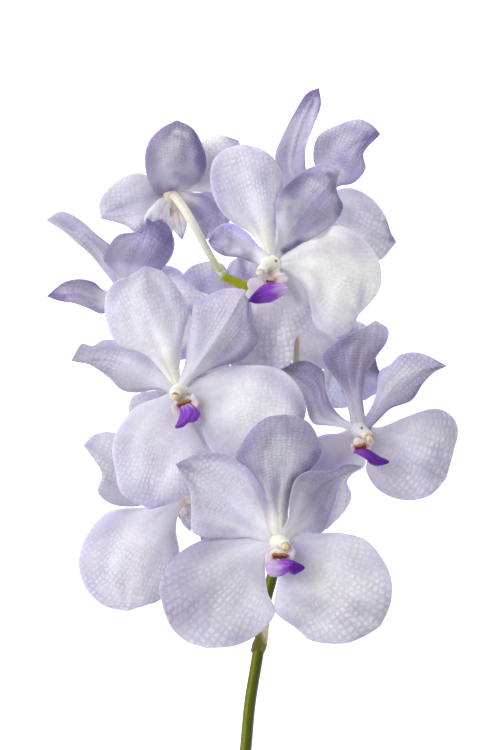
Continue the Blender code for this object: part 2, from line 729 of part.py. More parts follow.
def tube(name, points, radii, collection, finish):
    """A round bar through the points, as a mesh with welded ends."""
    data = bpy.data.curves.new(name, "CURVE")
    data.dimensions = "3D"
    data.bevel_depth = MM
    data.bevel_resolution = 2
    data.use_fill_caps = True
    spline = data.splines.new("POLY")
    spline.points.add(len(points) - 1)
    for target, place, radius in zip(spline.points, points, radii):
        target.co = (*place, 1.0)
        target.radius = radius
    curve = bpy.data.objects.new(name + "_curve", data)
    collection.objects.link(curve)
    bm = bmesh.new()
    bm.from_mesh(mesh_of(curve))
    bpy.data.objects.remove(curve)
    bmesh.ops.remove_doubles(bm, verts=bm.verts, dist=0.00001)
    return add_object(name, bm, collection, finish)


def route(places, count):
    """Evenly spaced points of a smooth route through the places."""
    return [smooth_point(places, index / (count - 1)) for index in range(count)]


def grading(first, last, count):
    """Even steps from the first size to the last."""
    return [first + (last - first) * index / (count - 1) for index in range(count)]


def hub_reach(slant):
    """How far the base reaches from its middle, along a line with this cosine to its axis."""
    across = (1 - slant * slant) / HUB_RADIUS**2
    deep = slant * slant / HUB_DEPTH**2
    return 1 / math.sqrt(across + deep)


def add_pedicels(collection):
    """Each bloom's stalk, from its socket on the stem to the back of its base."""
    axis = route([seen(*station) for station in STEM], AXIS_STOPS)
    sockets = []
    for name, bloom in BLOOMS.items():
        hub = seen(*bloom.hub)
        forward = (seen(*bloom.cap) - hub).normalized()
        places = [seen(*station) for station in bloom.pedicel]
        root = min(axis, key=lambda stop: (stop - places[0]).length)
        path = route([root, *places[1:], hub], PEDICEL_STOPS)[:-1]
        towards = (path[-1] - hub).normalized()
        clear = hub_reach(towards.dot(forward)) + PEDICEL_SEAT
        path.append(hub + towards * clear * MM)
        ahead = (path[1] - root).normalized()
        start = root + ahead * (SOCKET_LENGTH + GAP) * MM
        further = [place for place in path[1:] if (place - start).dot(ahead) > 2 * MM]
        path = [start, start + ahead * MM, *further]
        radii = grading(PEDICEL_ROOT_RADIUS, PEDICEL_END_RADIUS, len(path))
        tube(name + "_pedicel", path, radii, collection, "pedicel")
        sockets.append((root, root + ahead * SOCKET_LENGTH * MM))
    return sockets


def add_stem(collection, sockets):
    """The stem with a bract at its node and a short socket for each pedicel."""
    path = route([seen(*station) for station in STEM], STEM_STOPS)
    made = tube("stem", path, grading(STEM_RADIUS, AXIS_RADIUS, STEM_STOPS), collection, "stem")
    base = seen(*BRACT_BASE)
    tip = seen(*BRACT_TIP)
    turn = facing(tip - base, Vector((0, 0, 1)))
    size = (BRACT_RADIUS * MM, BRACT_RADIUS * MM, (tip - base).length / 2)
    pieces = [ball("bract", (base + tip) / 2, size, turn, collection, "stem")]
    for ends in sockets:
        pieces.append(tube("socket", ends, [SOCKET_RADIUS] * 2, collection, "stem"))
    fuse(made, pieces)
    press_flat(made)


def build():
    for old in list(bpy.data.objects):
        bpy.data.objects.remove(old)
    spray = bpy.data.collections.new("cut_vanda_orchid")
    bpy.context.scene.collection.children.link(spray)
    for name, bloom in BLOOMS.items():
        add_tepals(name, bloom, spray)
        add_column(name, bloom, spray)
        add_lip(name, bloom, spray)
    add_stem(spray, add_pedicels(spray))
    for made in spray.objects:
        made.data.shade_smooth()
    triangles = sum(len(made.data.loop_triangles) for made in spray.objects)
    print(len(spray.objects), "objects,", triangles, "triangles")


build()
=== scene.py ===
# %% [markdown]
# # A cut spray of vanda orchids
#
# One cut flower spike lies on a pale surface and is seen from straight above. It has ten blooms on
# one arched stem. Each bloom has five tepals with a netted pattern, a white column with a tan cap,
# a small violet lip and a cream stalk.
#
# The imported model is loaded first. Its solids are the fixed frame: every piece here stands for one
# of them, stays where it is, and adds the form, the colours and the fine relief of the real flower.

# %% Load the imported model
import math
from dataclasses import dataclass, field

import bpy
from mathutils import Matrix, Vector, noise


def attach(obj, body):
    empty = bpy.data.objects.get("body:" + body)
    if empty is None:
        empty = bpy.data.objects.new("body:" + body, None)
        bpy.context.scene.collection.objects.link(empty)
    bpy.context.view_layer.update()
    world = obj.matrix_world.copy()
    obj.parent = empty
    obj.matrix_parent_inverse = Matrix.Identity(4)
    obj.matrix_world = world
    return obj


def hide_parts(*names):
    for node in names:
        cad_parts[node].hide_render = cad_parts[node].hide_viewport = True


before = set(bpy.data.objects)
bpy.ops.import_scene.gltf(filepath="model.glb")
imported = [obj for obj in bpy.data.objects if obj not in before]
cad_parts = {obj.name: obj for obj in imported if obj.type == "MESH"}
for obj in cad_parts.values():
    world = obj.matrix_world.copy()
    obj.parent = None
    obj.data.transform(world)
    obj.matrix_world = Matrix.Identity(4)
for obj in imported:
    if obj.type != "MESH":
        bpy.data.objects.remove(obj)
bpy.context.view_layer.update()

MM = 0.001

# %% [markdown]
# ## The camera
#
# The photograph looks at the flowers from straight in front, which is straight down here, because
# the spray lies on its surface. The solids were placed as seen by an eye 1250 mm above the surface,
# so the camera goes there. What lies 50 mm above the surface is seen at its true size. A long lens
# keeps the near and the far blooms almost to one scale.

# %% Camera
EYE_HEIGHT = 1250.0
TRUE_HEIGHT = 50.0
MIDDLE = (-0.6, -66.8)
FRAME_HEIGHT = 291.0
SENSOR = 36.0
NEAR_LIMIT = 0.01
FAR_LIMIT = 50.0

camera_data = bpy.data.cameras.new("camera")
camera_data.sensor_width = SENSOR
camera_data.lens = SENSOR * (EYE_HEIGHT - TRUE_HEIGHT) / FRAME_HEIGHT
camera_data.clip_start = NEAR_LIMIT
camera_data.clip_end = FAR_LIMIT
camera = bpy.data.objects.new("camera", camera_data)
camera.location = (-MIDDLE[0] * MM, -MIDDLE[1] * MM, EYE_HEIGHT * MM)
bpy.context.scene.collection.objects.link(camera)
bpy.context.scene.camera = camera
print("lens", round(camera_data.lens, 1), "mm")

# %% [markdown]
# ## Light and floor
#
# The flowers were lit softly, a little more from the upper left, on a ground so bright that no shadow
# shows. A white sky gives the even light, one large lamp at the upper left gives the forms their
# gentle shading, and the floor shines a little of its own so that it stays nearly white under the
# flowers.

# %% Sky, lamp and floor
SKY = 0.62
LAMP_POWER = 13.0
LAMP_SIZE = 0.9
LAMP_PLACE = Vector((-0.85, 0.55, 1.05))
LAMP_AIM = Vector((0.0, 0.05, 0.05))
WHITE = (1.0, 1.0, 1.0, 1.0)
FLOOR_GREY = (0.9, 0.9, 0.9, 1.0)
FLOOR_GLOW = 0.75
FLOOR_WIDTH = 8.0
FLOOR_DROP = 0.0003


def set_sockets(node, **values):
    """Gives sockets of a node a value or a link. _0 is its first socket, and so on."""
    for label, value in values.items():
        socket = node.inputs[int(label[1:]) if label[0] == "_" else label.replace("_", " ")]
        if isinstance(value, bpy.types.NodeSocket):
            node.id_data.links.new(value, socket)
        else:
            socket.default_value = value


scene = bpy.context.scene
scene.view_settings.view_transform = "Standard"
world = bpy.data.worlds.new("soft white sky")
world.use_nodes = True
set_sockets(world.node_tree.nodes["Background"], Color=WHITE, Strength=SKY)
scene.world = world

lamp_data = bpy.data.lights.new("lamp", "AREA")
lamp_data.size = LAMP_SIZE
lamp_data.energy = LAMP_POWER
lamp = bpy.data.objects.new("lamp", lamp_data)
lamp.location = LAMP_PLACE
lamp.rotation_euler = (LAMP_AIM - LAMP_PLACE).to_track_quat("-Z", "Y").to_euler()
scene.collection.objects.link(lamp)

bpy.ops.object.select_all(action="DESELECT")
bpy.ops.mesh.primitive_plane_add(size=FLOOR_WIDTH, location=(0.0, 0.0, -FLOOR_DROP))
floor = bpy.context.object
floor.name = "floor"
bpy.ops.object.transform_apply(location=True)
floor_finish = bpy.data.materials.new("floor")
floor_finish.use_nodes = True
set_sockets(
    floor_finish.node_tree.nodes["Principled BSDF"],
    Base_Color=FLOOR_GREY, Roughness=0.9, Emission_Color=WHITE, Emission_Strength=FLOOR_GLOW)
floor.data.materials.append(floor_finish)
print("lamp and floor ready")

# %% [markdown]
# ## Where things are
#
# Every place is written as it is seen from the camera, in millimetres, with its height above the
# surface. One small function turns that into the model's metres, and another draws a smooth curve
# through points. The same two placed the solids, so the pieces fall where the solids are.

# %% Places and smooth curves
def seen(across, along, height):
    """The place, in metres, of what is seen at (across, along) and lies at this height."""
    shrink = (EYE_HEIGHT - height) / (EYE_HEIGHT - TRUE_HEIGHT)
    return Vector((across * shrink - MIDDLE[0], along * shrink - MIDDLE[1], height)) * MM


def smooth_point(points, fraction):
    """The point at a fraction of the length of a smooth curve through the points."""
    steps = [(b - a).length for a, b in zip(points, points[1:])]
    target = fraction * sum(steps)
    index = 0
    while index < len(steps) - 1 and target > steps[index]:
        target -= steps[index]
        index += 1
    before = points[max(index - 1, 0)]
    start = points[index]
    end = points[index + 1]
    after = points[min(index + 2, len(points) - 1)]
    step = steps[index]
    leave = (end - before) / (step + (steps[index - 1] if index else 0.0))
    arrive = (after - start) / (step + (steps[index + 1] if index + 1 < len(steps) else 0.0))
    u = target / step
    return (
        start * (2 * u**3 - 3 * u**2 + 1)
        + leave * step * (u**3 - 2 * u**2 + u)
        + end * (3 * u**2 - 2 * u**3)
        + arrive * step * (u**3 - u**2)
    )


def facing(axis, up):
    """The turn whose third axis is axis and whose second lies towards up."""
    third = axis.normalized()
    first = up.cross(third).normalized()
    second = third.cross(first)
    return Matrix((first, second, third)).transposed()


def ease(low, high, value):
    """Goes smoothly from 0 at low to 1 at high."""
    u = min(max((value - low) / (high - low), 0.0), 1.0)
    return u * u * (3 - 2 * u)


def blend(first, second, amount):
    """A colour between two colours."""
    return tuple(a + (b - a) * amount for a, b in zip(first, second))


def bell(distance, width):
    """1 at no distance, falling softly to 0 on both sides."""
    return math.exp(-((distance / width) ** 2))


def square_to(axis, way):
    """The direction that is left of a way when its part along the axis is taken out."""
    return (way - axis * way.dot(axis)).normalized()


print("a point at the surface:", seen(0, 0, 0))

# %% [markdown]
# ## Tones
#
# The tepals run from creamy white claws through a greyish lavender to a dusky violet on the blades
# that turn away or are seen from behind. A few named tones are enough: each tepal
# then names the tone of its claw, its left side, its middle, its right side and its tip.

# %% Named tones
def tone(red, green, blue):
    """A colour as it looks on a screen, from 0 to 255, turned into the linear values of light."""
    return tuple(((c / 255 + 0.055) / 1.055) ** 2.4 for c in (red, green, blue))


# The darker tones are partly the blades' own colour and partly painted shade, where a blade turns away from
# the light or lies under a lip or another blade.
TONES = {
    "cream": tone(242, 240, 230),
    "milk": tone(239, 239, 236),
    "white": tone(231, 230, 234),
    "frost": tone(222, 222, 246),
    "pale": tone(223, 221, 230),
    "mist": tone(212, 210, 222),
    "haze": tone(202, 199, 214),
    "ash": tone(194, 192, 202),
    "lilac": tone(189, 184, 208),
    "sky": tone(204, 202, 232),
    "blue": tone(186, 180, 222),
    "violet": tone(174, 166, 201),
    "dusk": tone(172, 165, 185),
    "plum": tone(159, 150, 179),
    "iris": tone(149, 138, 186),
    "deep": tone(145, 135, 163),
    "shade": tone(131, 119, 151),
    "grape": tone(112, 95, 146),
}
print(len(TONES), "tones")

# %% [markdown]
# ## The blooms
#
# A tepal is written as its two edges and its tip, as seen, with heights along its rib. Left and
# right are those of a walker from the claw to the tip. The outlines are those of the solids, a few
# of them drawn a little closer to the photograph. The lip of a front bloom is written the same way,
# because its outline shows. A blade that rests on the surface has the height RESTING.

# %% The facts of a tepal and of a bloom
RESTING = 0.35
FINE_MESH = (64, 44)
MIDDLE_MESH = (56, 36)
PLAIN_MESH = (44, 28)


@dataclass
class Tepal:
    """One blade, as seen. tilt lifts the right edge, cup lifts both edges, wave ripples them.

    cell is the width and length of the net's cells in mm, and net is how strongly they show.
    margin is how violet its margin is, and keel is the height of a fold along the rib. A stain is
    a soft patch along a line, as seen: its two ends, its reach in mm, its tone and its strength.
    Some stains are painted shade: in folds, in a dimple and under a lip.
    """

    left: list
    tip: tuple
    right: list
    heights: tuple
    tilt: float = 0.0
    cup: float = 0.0
    wave: float = 0.6
    tones: str = "cream pale pale pale pale"
    cell: tuple = (1.35, 2.0)
    net: float = 0.6
    margin: float = 0.5
    keel: float = 0.0
    stains_and_painted_shade: list = field(default_factory=list)


@dataclass
class Bloom:
    """One flower: hub, cap and the lip's two ends are (across, along, height).

    lip_stops are where, along the lip, it is still pale, violet and deep violet. A speck is a
    small brown spot beside the column. faded is how pale the cap and the callus are, and mesh is
    the rows and columns of each blade's grid.
    """

    hub: tuple
    cap: tuple
    lip_base: tuple
    lip_tip: tuple
    pedicel: list
    tepals: dict = field(default_factory=dict)
    lip: Tepal = None
    lip_root: tuple = None
    bar: tuple = None
    ears: tuple = None
    lip_stops: tuple = (0.05, 0.4, 0.85)
    speck: tuple = None
    faded: float = 0.0
    from_behind: bool = False
    mesh: tuple = PLAIN_MESH


print("a plain blade has", PLAIN_MESH[0] * PLAIN_MESH[1], "faces a side")

# %% [markdown]
# The four front blooms come first. They face the camera, so they carry most of the likeness, and
# their blades get a finer mesh than the rest.

# %% Bloom at the lower front
BLOOMS = {}
BLOOMS["low_front"] = Bloom(
    mesh=FINE_MESH,
    hub=(11.5, -65, 98),
    cap=(13.7, -66.3, 107),
    lip_base=(10, -71.5, 104),
    lip_tip=(21, -74.7, 109),
    lip_root=(5.7, -74, 105),
    bar=((8.2, -69.7, 105), (14.8, -70, 105.5)),
    ears=(((7.1, -71.4, 105), 1.4, 2.4), ((15.9, -69.2, 104.6), 1.4, 2.8)),
    lip_stops=(0.22, 0.52, 0.74),
    lip=Tepal(
        left=[
            (7.6, -71.4), (10.9, -71.6), (12.9, -71.3), (14.5, -71.3), (16.4, -72.1), (18.4, -73.1),
            (20, -73.8)],
        tip=(21.1, -74.8),
        right=[
            (6.1, -76.3), (6.9, -77.4), (8, -78.1), (9.6, -78.3), (11.3, -78.1), (12.9, -77.6),
            (14.6, -76.4), (16.8, -77.6), (18.4, -76.9), (20.3, -75.7)],
        heights=(106, 107.5, 108)),
    pedicel=[(12.5, -52, 52), (12, -58, 66), (11.5, -63, 82), (11.5, -65, 95)])
tepals = BLOOMS["low_front"].tepals
tepals["dorsal_sepal"] = Tepal(
    left=[(6.5, -58), (4.5, -50), (3.5, -43), (-1, -36), (-5.7, -32.5), (-3, -26), (1, -20.5), (6, -16.5)],
    tip=(13.5, -15.3),
    right=[(14.3, -58), (15, -50), (18, -42), (23.5, -36.5), (27.8, -31), (26.5, -25), (22, -18)],
    heights=(101, 103, 101), tilt=-3, cup=-2, tones="cream plum ash plum dusk", cell=(1.6, 1.2), net=0.7,
    stains_and_painted_shade=[
        ((22, -36), (26.8, -30), 3.6, "grape", 0.65),
        ((-4.5, -32.5), (3, -38), 3.6, "deep", 0.6),
        ((8, -22), (18, -22), 4.0, "plum", 0.5),
        ((16.5, -39), (15.6, -50), 2.2, "deep", 0.65),
        # The plum line beside the rib is painted shade on the shadowed side of the fold along the rib.
        ((9.2, -40), (10.2, -54), 1.5, "plum", 0.5),
        ((12, -36), (12, -52), 1.4, "mist", 0.6),
        ((6, -30), (7, -48), 2.0, "mist", 0.7)])
tepals["left_petal"] = Tepal(
    left=[(-1, -63), (-10, -63.6), (-22, -61.4), (-23, -52), (-23.5, -45)],
    tip=(-29, -34.5),
    right=[(6.5, -56), (5, -45), (-1, -34.5), (-11, -29.8), (-20, -30.5)],
    heights=(96, 93, 92), tilt=2, cup=1, tones="pale ash haze haze dusk",
    stains_and_painted_shade=[
        ((-28, -35), (-22, -32.5), 3.0, "shade", 0.5),
        ((0, -38), (5, -50), 3.0, "plum", 0.45),
        ((-19, -58), (-6, -61), 3.0, "plum", 0.4),
        ((-14, -42), (4, -60), 2.4, "mist", 0.5)])
tepals["right_petal"] = Tepal(
    left=[(14.4, -56), (15.2, -48), (17.2, -41), (22, -37.4), (31, -37.2), (37, -34.6)],
    tip=(43.5, -35.4),
    right=[(20, -62), (28, -61), (31.5, -53), (34.5, -43), (38, -38.7)],
    heights=(97, 93, 82), tilt=-6, cup=1, tones="pale dusk plum violet dusk", keel=1.5,
    stains_and_painted_shade=[
        ((20.5, -40), (30, -40.5), 3.2, "deep", 0.5),
        ((24, -46), (29.5, -56), 3.6, "deep", 0.45),
        ((17, -58), (19.5, -46), 1.8, "mist", 0.5)])
tepals["left_sepal"] = Tepal(
    left=[(6, -71), (5.8, -78), (6.6, -84.5), (9.6, -92), (3, -100.5), (-6, -105)],
    tip=(-17, -106),
    right=[(-6, -63), (-17, -63.5), (-28.5, -69.8), (-35, -80), (-34.5, -88), (-31, -97.5), (-25, -103.3)],
    heights=(96, 95, 90), tilt=-2, cup=-3, wave=1.0, tones="mist mist ash dusk mist",
    cell=(2.1, 2.7), net=0.75, margin=0.25,
    # The dusk stain is painted shade in a dimple of the blade.
    stains_and_painted_shade=[((-23, -79), (-25.5, -86.5), 5.5, "dusk", 0.6)])
tepals["right_sepal"] = Tepal(
    left=[(22, -61.8), (36, -61.5), (46, -65), (54, -77), (54.5, -88)],
    tip=(50.5, -97.5),
    right=[
        (12, -73), (10.6, -80), (9.6, -86.5), (9.6, -92), (18, -98.5), (23.5, -103), (36, -104.2),
        (44, -101.5)],
    # Its lilac claw is painted shade, where the lip shades it.
    heights=(97, 96, 92), tilt=2, cup=-3, wave=1.0, tones="lilac mist white mist ash",
    cell=(2.0, 2.6), net=0.75, margin=0.3)
print(len(tepals), "tepals")

# %% Bloom at the left
BLOOMS["left"] = Bloom(
    mesh=FINE_MESH,
    hub=(-27.8, -6.5, 76),
    cap=(-29.3, -8.2, 84),
    lip_base=(-24.8, -12, 81),
    lip_tip=(-28, -20.4, 86),
    lip_root=(-25.8, -10.9, 82),
    bar=((-28.8, -11.6, 82.5), (-23, -9.9, 82.5)),
    ears=(((-29.3, -13.2, 82), 1.1, 2.1), ((-21.6, -10, 82), 1.5, 2.5)),
    lip_stops=(-0.05, 0.3, 1.5),
    lip=Tepal(
        left=[
            (-22.8, -11.3), (-20.7, -13.2), (-19.4, -15.2), (-20.2, -17), (-21.6, -18.2), (-23.3, -17.9),
            (-24.8, -18.9), (-26.3, -20.2)],
        tip=(-29.2, -20.6),
        right=[(-27.7, -12.9), (-27.4, -14.9), (-27.8, -16.8), (-28.5, -18.7)],
        heights=(83, 84.5, 85)),
    pedicel=[(9, -20, 52), (-4, -17, 58), (-17, -11, 66), (-26, -7, 73)])
tepals = BLOOMS["left"].tepals
tepals["dorsal_sepal"] = Tepal(
    left=[(-33, -1), (-40.5, 7.4), (-51.8, 12.4), (-56.2, 22), (-56, 31), (-52.5, 36.2), (-47, 38.2)],
    tip=(-41, 42.4),
    right=[(-27.5, 1), (-26.8, 10), (-25.4, 18), (-24, 25), (-27.5, 32.5), (-34, 40)],
    heights=(80, 80, 77), tilt=-1, cup=-2, wave=0.8, tones="cream mist pale mist ash", net=0.45)
tepals["left_petal"] = Tepal(
    left=[(-36, -5.8), (-44, -6.8), (-50, -5.8), (-55, -1), (-63, 4.3)],
    tip=(-69.6, 5.6),
    right=[(-33.5, 0), (-40, 9.5), (-48, 13), (-57, 13.6), (-61.5, 11.3), (-65.5, 12.2)],
    heights=(74, 72, 71), tilt=3, cup=1, tones="mist dusk haze lilac dusk", keel=0.8)
tepals["right_petal"] = Tepal(
    left=[(-25.8, 3), (-24.3, 13), (-22.8, 22), (-21.6, 28.4), (-15.5, 31.4), (-9, 33.6)],
    tip=(-2.2, 33.2),
    right=[(-21.5, -1), (-13, 3), (-3, 6), (2.8, 12.5), (2.4, 17), (-0.4, 21.8), (-0.5, 29.5)],
    heights=(82, 86, 84), tilt=-1, cup=-1, tones="pale haze haze plum mist", keel=2.4,
    stains_and_painted_shade=[
        ((1.8, 21), (1.6, 12.5), 2.6, "plum", 0.8),
        ((-1.2, 31), (-1, 24.5), 2.2, "iris", 0.8),
        # The violet line under the folded top edge is a painted shadow of the fold.
        ((-20.5, 28), (-11.5, 32), 2.0, "violet", 0.6)])
tepals["right_sepal"] = Tepal(
    left=[(-20, -1.5), (-10, 2.8), (2, 3.9), (12.2, 1.9), (18.8, -4.7), (21.5, -13)],
    tip=(20, -20),
    right=[(-21, -12), (-18.5, -22.5), (-13, -31.5), (1, -33), (13, -27)],
    heights=(78, 80, 79), tilt=1, cup=-1, tones="ash pale white haze plum", net=0.35, margin=0.45)
tepals["left_sepal"] = Tepal(
    left=[(-21.5, -14), (-15.5, -22), (-10.5, -30), (-16.5, -41), (-27, -48.5)],
    tip=(-39, -52.2),
    right=[(-35, -8.5), (-44, -12), (-50.6, -19.4), (-53.6, -28), (-52.6, -36), (-50, -46)],
    heights=(74, 73, 71), tilt=-1, cup=-2, tones="haze haze pale mist lilac", margin=0.4,
    stains_and_painted_shade=[((-22.7, -17.8), (-17.6, -27.2), 1.0, "plum", 0.7)])
print(len(tepals), "tepals")

# %% Bloom at the upper front
BLOOMS["top_front"] = Bloom(
    mesh=FINE_MESH,
    hub=(8, 43, 94),
    cap=(3.6, 39.8, 103),
    lip_base=(12.5, 35.5, 100),
    lip_tip=(-0.8, 28.6, 104),
    lip_root=(14.6, 33.8, 101),
    bar=((5.8, 37.7, 101.5), (9.4, 36.8, 101.5)),
    ears=(((2.3, 34.8, 99), 3.5, 2.9), ((11.7, 37.5, 100), 2.9, 2.2)),
    lip_stops=(0.08, 0.42, 0.85),
    speck=(9.9, 44.3),
    faded=0.5,
    lip=Tepal(
        left=[(14.3, 32.4), (12.6, 31), (8, 28.3), (5.2, 27.9), (2.1, 27.7)],
        tip=(-0.9, 28.7),
        right=[(14.5, 35), (11.4, 35.6), (8, 36), (5.6, 35.3), (3.3, 33.8), (1, 31.4)],
        heights=(102, 103, 104)),
    pedicel=[
        (11.6, -14, 51), (15.5, -9, 57), (17.6, 3, 62), (17.6, 15, 68), (14.5, 32, 78), (12, 43, 85.5)])
tepals = BLOOMS["top_front"].tepals
tepals["dorsal_sepal"] = Tepal(
    left=[(4, 50), (0, 55.2), (-8, 60), (-13, 66), (-15.6, 75), (-14.5, 83), (-10, 87.4)],
    tip=(-2.5, 89.6),
    right=[(9.6, 51), (10.3, 60), (11.5, 69), (13.2, 75), (9.5, 83.4), (4.5, 87.6)],
    heights=(97, 96, 92), cup=-2, tones="cream haze mist haze pale", wave=0.9)
tepals["left_petal"] = Tepal(
    left=[(1, 43.5), (-5, 45.5), (-10, 46.2), (-14, 48.4)],
    tip=(-16.5, 52),
    right=[(2.4, 51), (-2, 56), (-8, 59), (-13.5, 57)],
    heights=(90, 80, 70), tilt=6, cup=1, tones="pale shade dusk blue blue",
    stains_and_painted_shade=[((-14.5, 53), (-11, 55.5), 4.0, "shade", 0.6), ((-4.5, 48.5), (-9, 48), 2.4, "mist", 0.5)])
tepals["right_petal"] = Tepal(
    left=[(10.5, 52), (9.6, 61), (10.6, 69.5), (15, 75), (20.5, 79.2), (27.5, 81.8), (33, 81)],
    tip=(36.4, 79.4),
    right=[(15, 47.5), (22, 51.8), (31, 57.5), (36, 64.5), (33.6, 71), (33.6, 75.5)],
    heights=(94, 91, 86), tilt=-4, cup=1, wave=2.2, tones="mist violet violet dusk haze",
    cell=(1.1, 1.4), keel=1.2,
    # The dark shade and grape bands along the folds of this crumpled blade are painted shade in the folds,
    # and the grape patch by the claw is a curled fold, partly its violet underside and partly painted shade.
    stains_and_painted_shade=[
        ((13, 56), (17.5, 64), 5.0, "mist", 0.75),
        ((20, 66), (24, 73), 5.0, "haze", 0.7),
        ((11.6, 60), (13, 68), 3.6, "pale", 0.7),
        ((14.5, 73), (22.5, 78), 3.8, "shade", 0.75),
        ((23.5, 75), (27.5, 72.5), 2.2, "mist", 0.6),
        ((28.5, 80), (31.5, 79.5), 1.6, "mist", 0.6),
        ((18, 56), (25, 63), 3.4, "plum", 0.5),
        ((32.8, 77), (32, 71.5), 3.2, "shade", 0.8),
        ((30.5, 77.5), (32.5, 72.5), 2.4, "grape", 0.6),
        ((35.6, 79), (34.6, 76), 1.5, "white", 0.7),
        ((35.2, 70), (35.4, 61.5), 3.4, "grape", 0.9),
        ((12.8, 48), (19.5, 52), 2.6, "grape", 0.95)])
tepals["right_sepal"] = Tepal(
    left=[(15, 48), (24, 53.5), (34, 58), (44, 52.5), (50, 43.7), (50, 33)],
    tip=(42, 23.3),
    right=[(14, 40.5), (20, 34.5), (23.4, 26), (25, 19), (32, 15), (38, 16.5)],
    heights=(93, 90, 85), tilt=1, cup=-3, tones="white milk milk pale mist", net=0.3, margin=0.4)
tepals["left_sepal"] = Tepal(
    left=[(15.5, 39.5), (21.5, 34), (25.5, 26.5), (23.5, 19.5), (17.5, 14), (15.6, 4.6)],
    tip=(9.5, 1.4),
    right=[(3.5, 38.5), (-1.4, 32.5), (-3, 27), (-3.2, 22), (-4, 14), (-7, 7.5), (-7.6, 3.4), (-2, 1.2)],
    heights=(83, 74, 72), tilt=-2, cup=1, tones="ash pale haze pale haze", cell=(2.0, 2.4), net=0.85,
    # The ash claw and the dusk stain beside the lip are painted shadow of the lip.
    stains_and_painted_shade=[((13.5, 36), (18.5, 29.5), 3.2, "dusk", 0.6), ((1, 22), (-2.5, 10), 3.0, "lilac", 0.5)])
print(len(tepals), "tepals")

# %% Bloom at the right
BLOOMS["right"] = Bloom(
    mesh=FINE_MESH,
    hub=(42.5, -21.5, 74),
    cap=(46.2, -24.4, 83),
    lip_base=(42.5, -29, 79),
    lip_tip=(53.6, -33.4, 83),
    lip_root=(40.2, -29.4, 80),
    bar=((40, -28, 81), (45, -26.8, 81.5)),
    ears=(((39.9, -28.2, 80), 1.0, 1.8), ((46.3, -26.2, 79.6), 1.8, 1.3)),
    lip_stops=(-0.3, 0.12, 0.5),
    speck=(43.2, -20.6),
    lip=Tepal(
        left=[
            (41.4, -28.9), (43.2, -28.5), (45.3, -28.8), (47.1, -29.6), (48.8, -30.8), (50.6, -31.9),
            (52.7, -32.8)],
        tip=(53.9, -33.8),
        right=[
            (41, -30.3), (42.1, -31), (43.5, -31.7), (45.3, -33), (46.2, -34.2), (48.5, -35.3),
            (50.6, -35.1), (52.4, -34.5)],
        heights=(81, 82, 82.5)),
    pedicel=[(15.5, -30, 52), (24, -28, 58), (34, -24.5, 66), (41, -22, 71.5)])
tepals = BLOOMS["right"].tepals
tepals["dorsal_sepal"] = Tepal(
    left=[(38.3, -15), (37, -9), (34, -3), (27.7, 7), (33, 12.5), (43, 17.6)],
    tip=(48.5, 21.2),
    right=[(44.2, -15), (43.5, -8), (45, 0.5), (49, 7.4), (53, 13.2), (53.3, 18)],
    heights=(78, 80, 76), tilt=-1, cup=1, tones="haze plum plum plum pale",
    cell=(1.7, 1.2), net=0.8, keel=0.4,
    stains_and_painted_shade=[((28.5, 8), (36, 12.5), 3.2, "iris", 0.6)])
tepals["left_petal"] = Tepal(
    left=[(36, -20.6), (30.5, -19.7), (24, -18.5), (20.5, -9), (16, -1.5)],
    tip=(11, 2.8),
    right=[(37.2, -17.6), (32, -12.5), (29, -5.5), (28.2, 1.5), (22.5, 5.4), (16, 4.7)],
    heights=(72, 69, 68), tilt=-2, cup=1, tones="haze haze plum deep deep", cell=(1.5, 1.3), net=0.7)
tepals["right_petal"] = Tepal(
    left=[(45.6, -14.8), (48.8, -7.5), (50.2, 1.6), (54.2, 4), (58.5, 8), (66, 8.5)],
    tip=(76.2, 3.6),
    right=[(49.6, -17.6), (54.5, -13), (62.5, -9.8), (67, -3.2), (71.5, 1.3)],
    heights=(76, 78, 75), tilt=2, cup=1, tones="plum lilac ash deep plum",
    cell=(1.5, 1.8), net=0.9, keel=1.2,
    stains_and_painted_shade=[((66, -1.5), (55, -9), 3.0, "plum", 0.7)])
tepals["right_sepal"] = Tepal(
    left=[(50, -20.3), (61, -16), (72, -13), (78.5, -16.3), (80.5, -22), (79, -29)],
    tip=(76, -40),
    right=[(46, -29), (44.9, -37), (50, -44.8), (60, -48.6), (70, -46.5)],
    heights=(73, 74, 70), cup=-2, wave=1.4, tones="haze ash mist haze haze",
    cell=(2.4, 1.9), net=0.75, margin=0.3)
tepals["left_sepal"] = Tepal(
    left=[(44.5, -35), (39.5, -38.5), (37.5, -41.5), (39.2, -47), (36.5, -53)],
    tip=(29.5, -60),
    right=[(36, -22.5), (27, -23.6), (20, -30), (18, -42), (21, -53)],
    heights=(70, 67, 64), tilt=4, tones="ash pale violet violet haze")
print(len(tepals), "tepals")

# %% [markdown]
# Two blooms show their backs, and four stand behind the others, one of them turned away as well.
# Their visible blades follow the photograph. What is hidden is guessed from the front blooms.

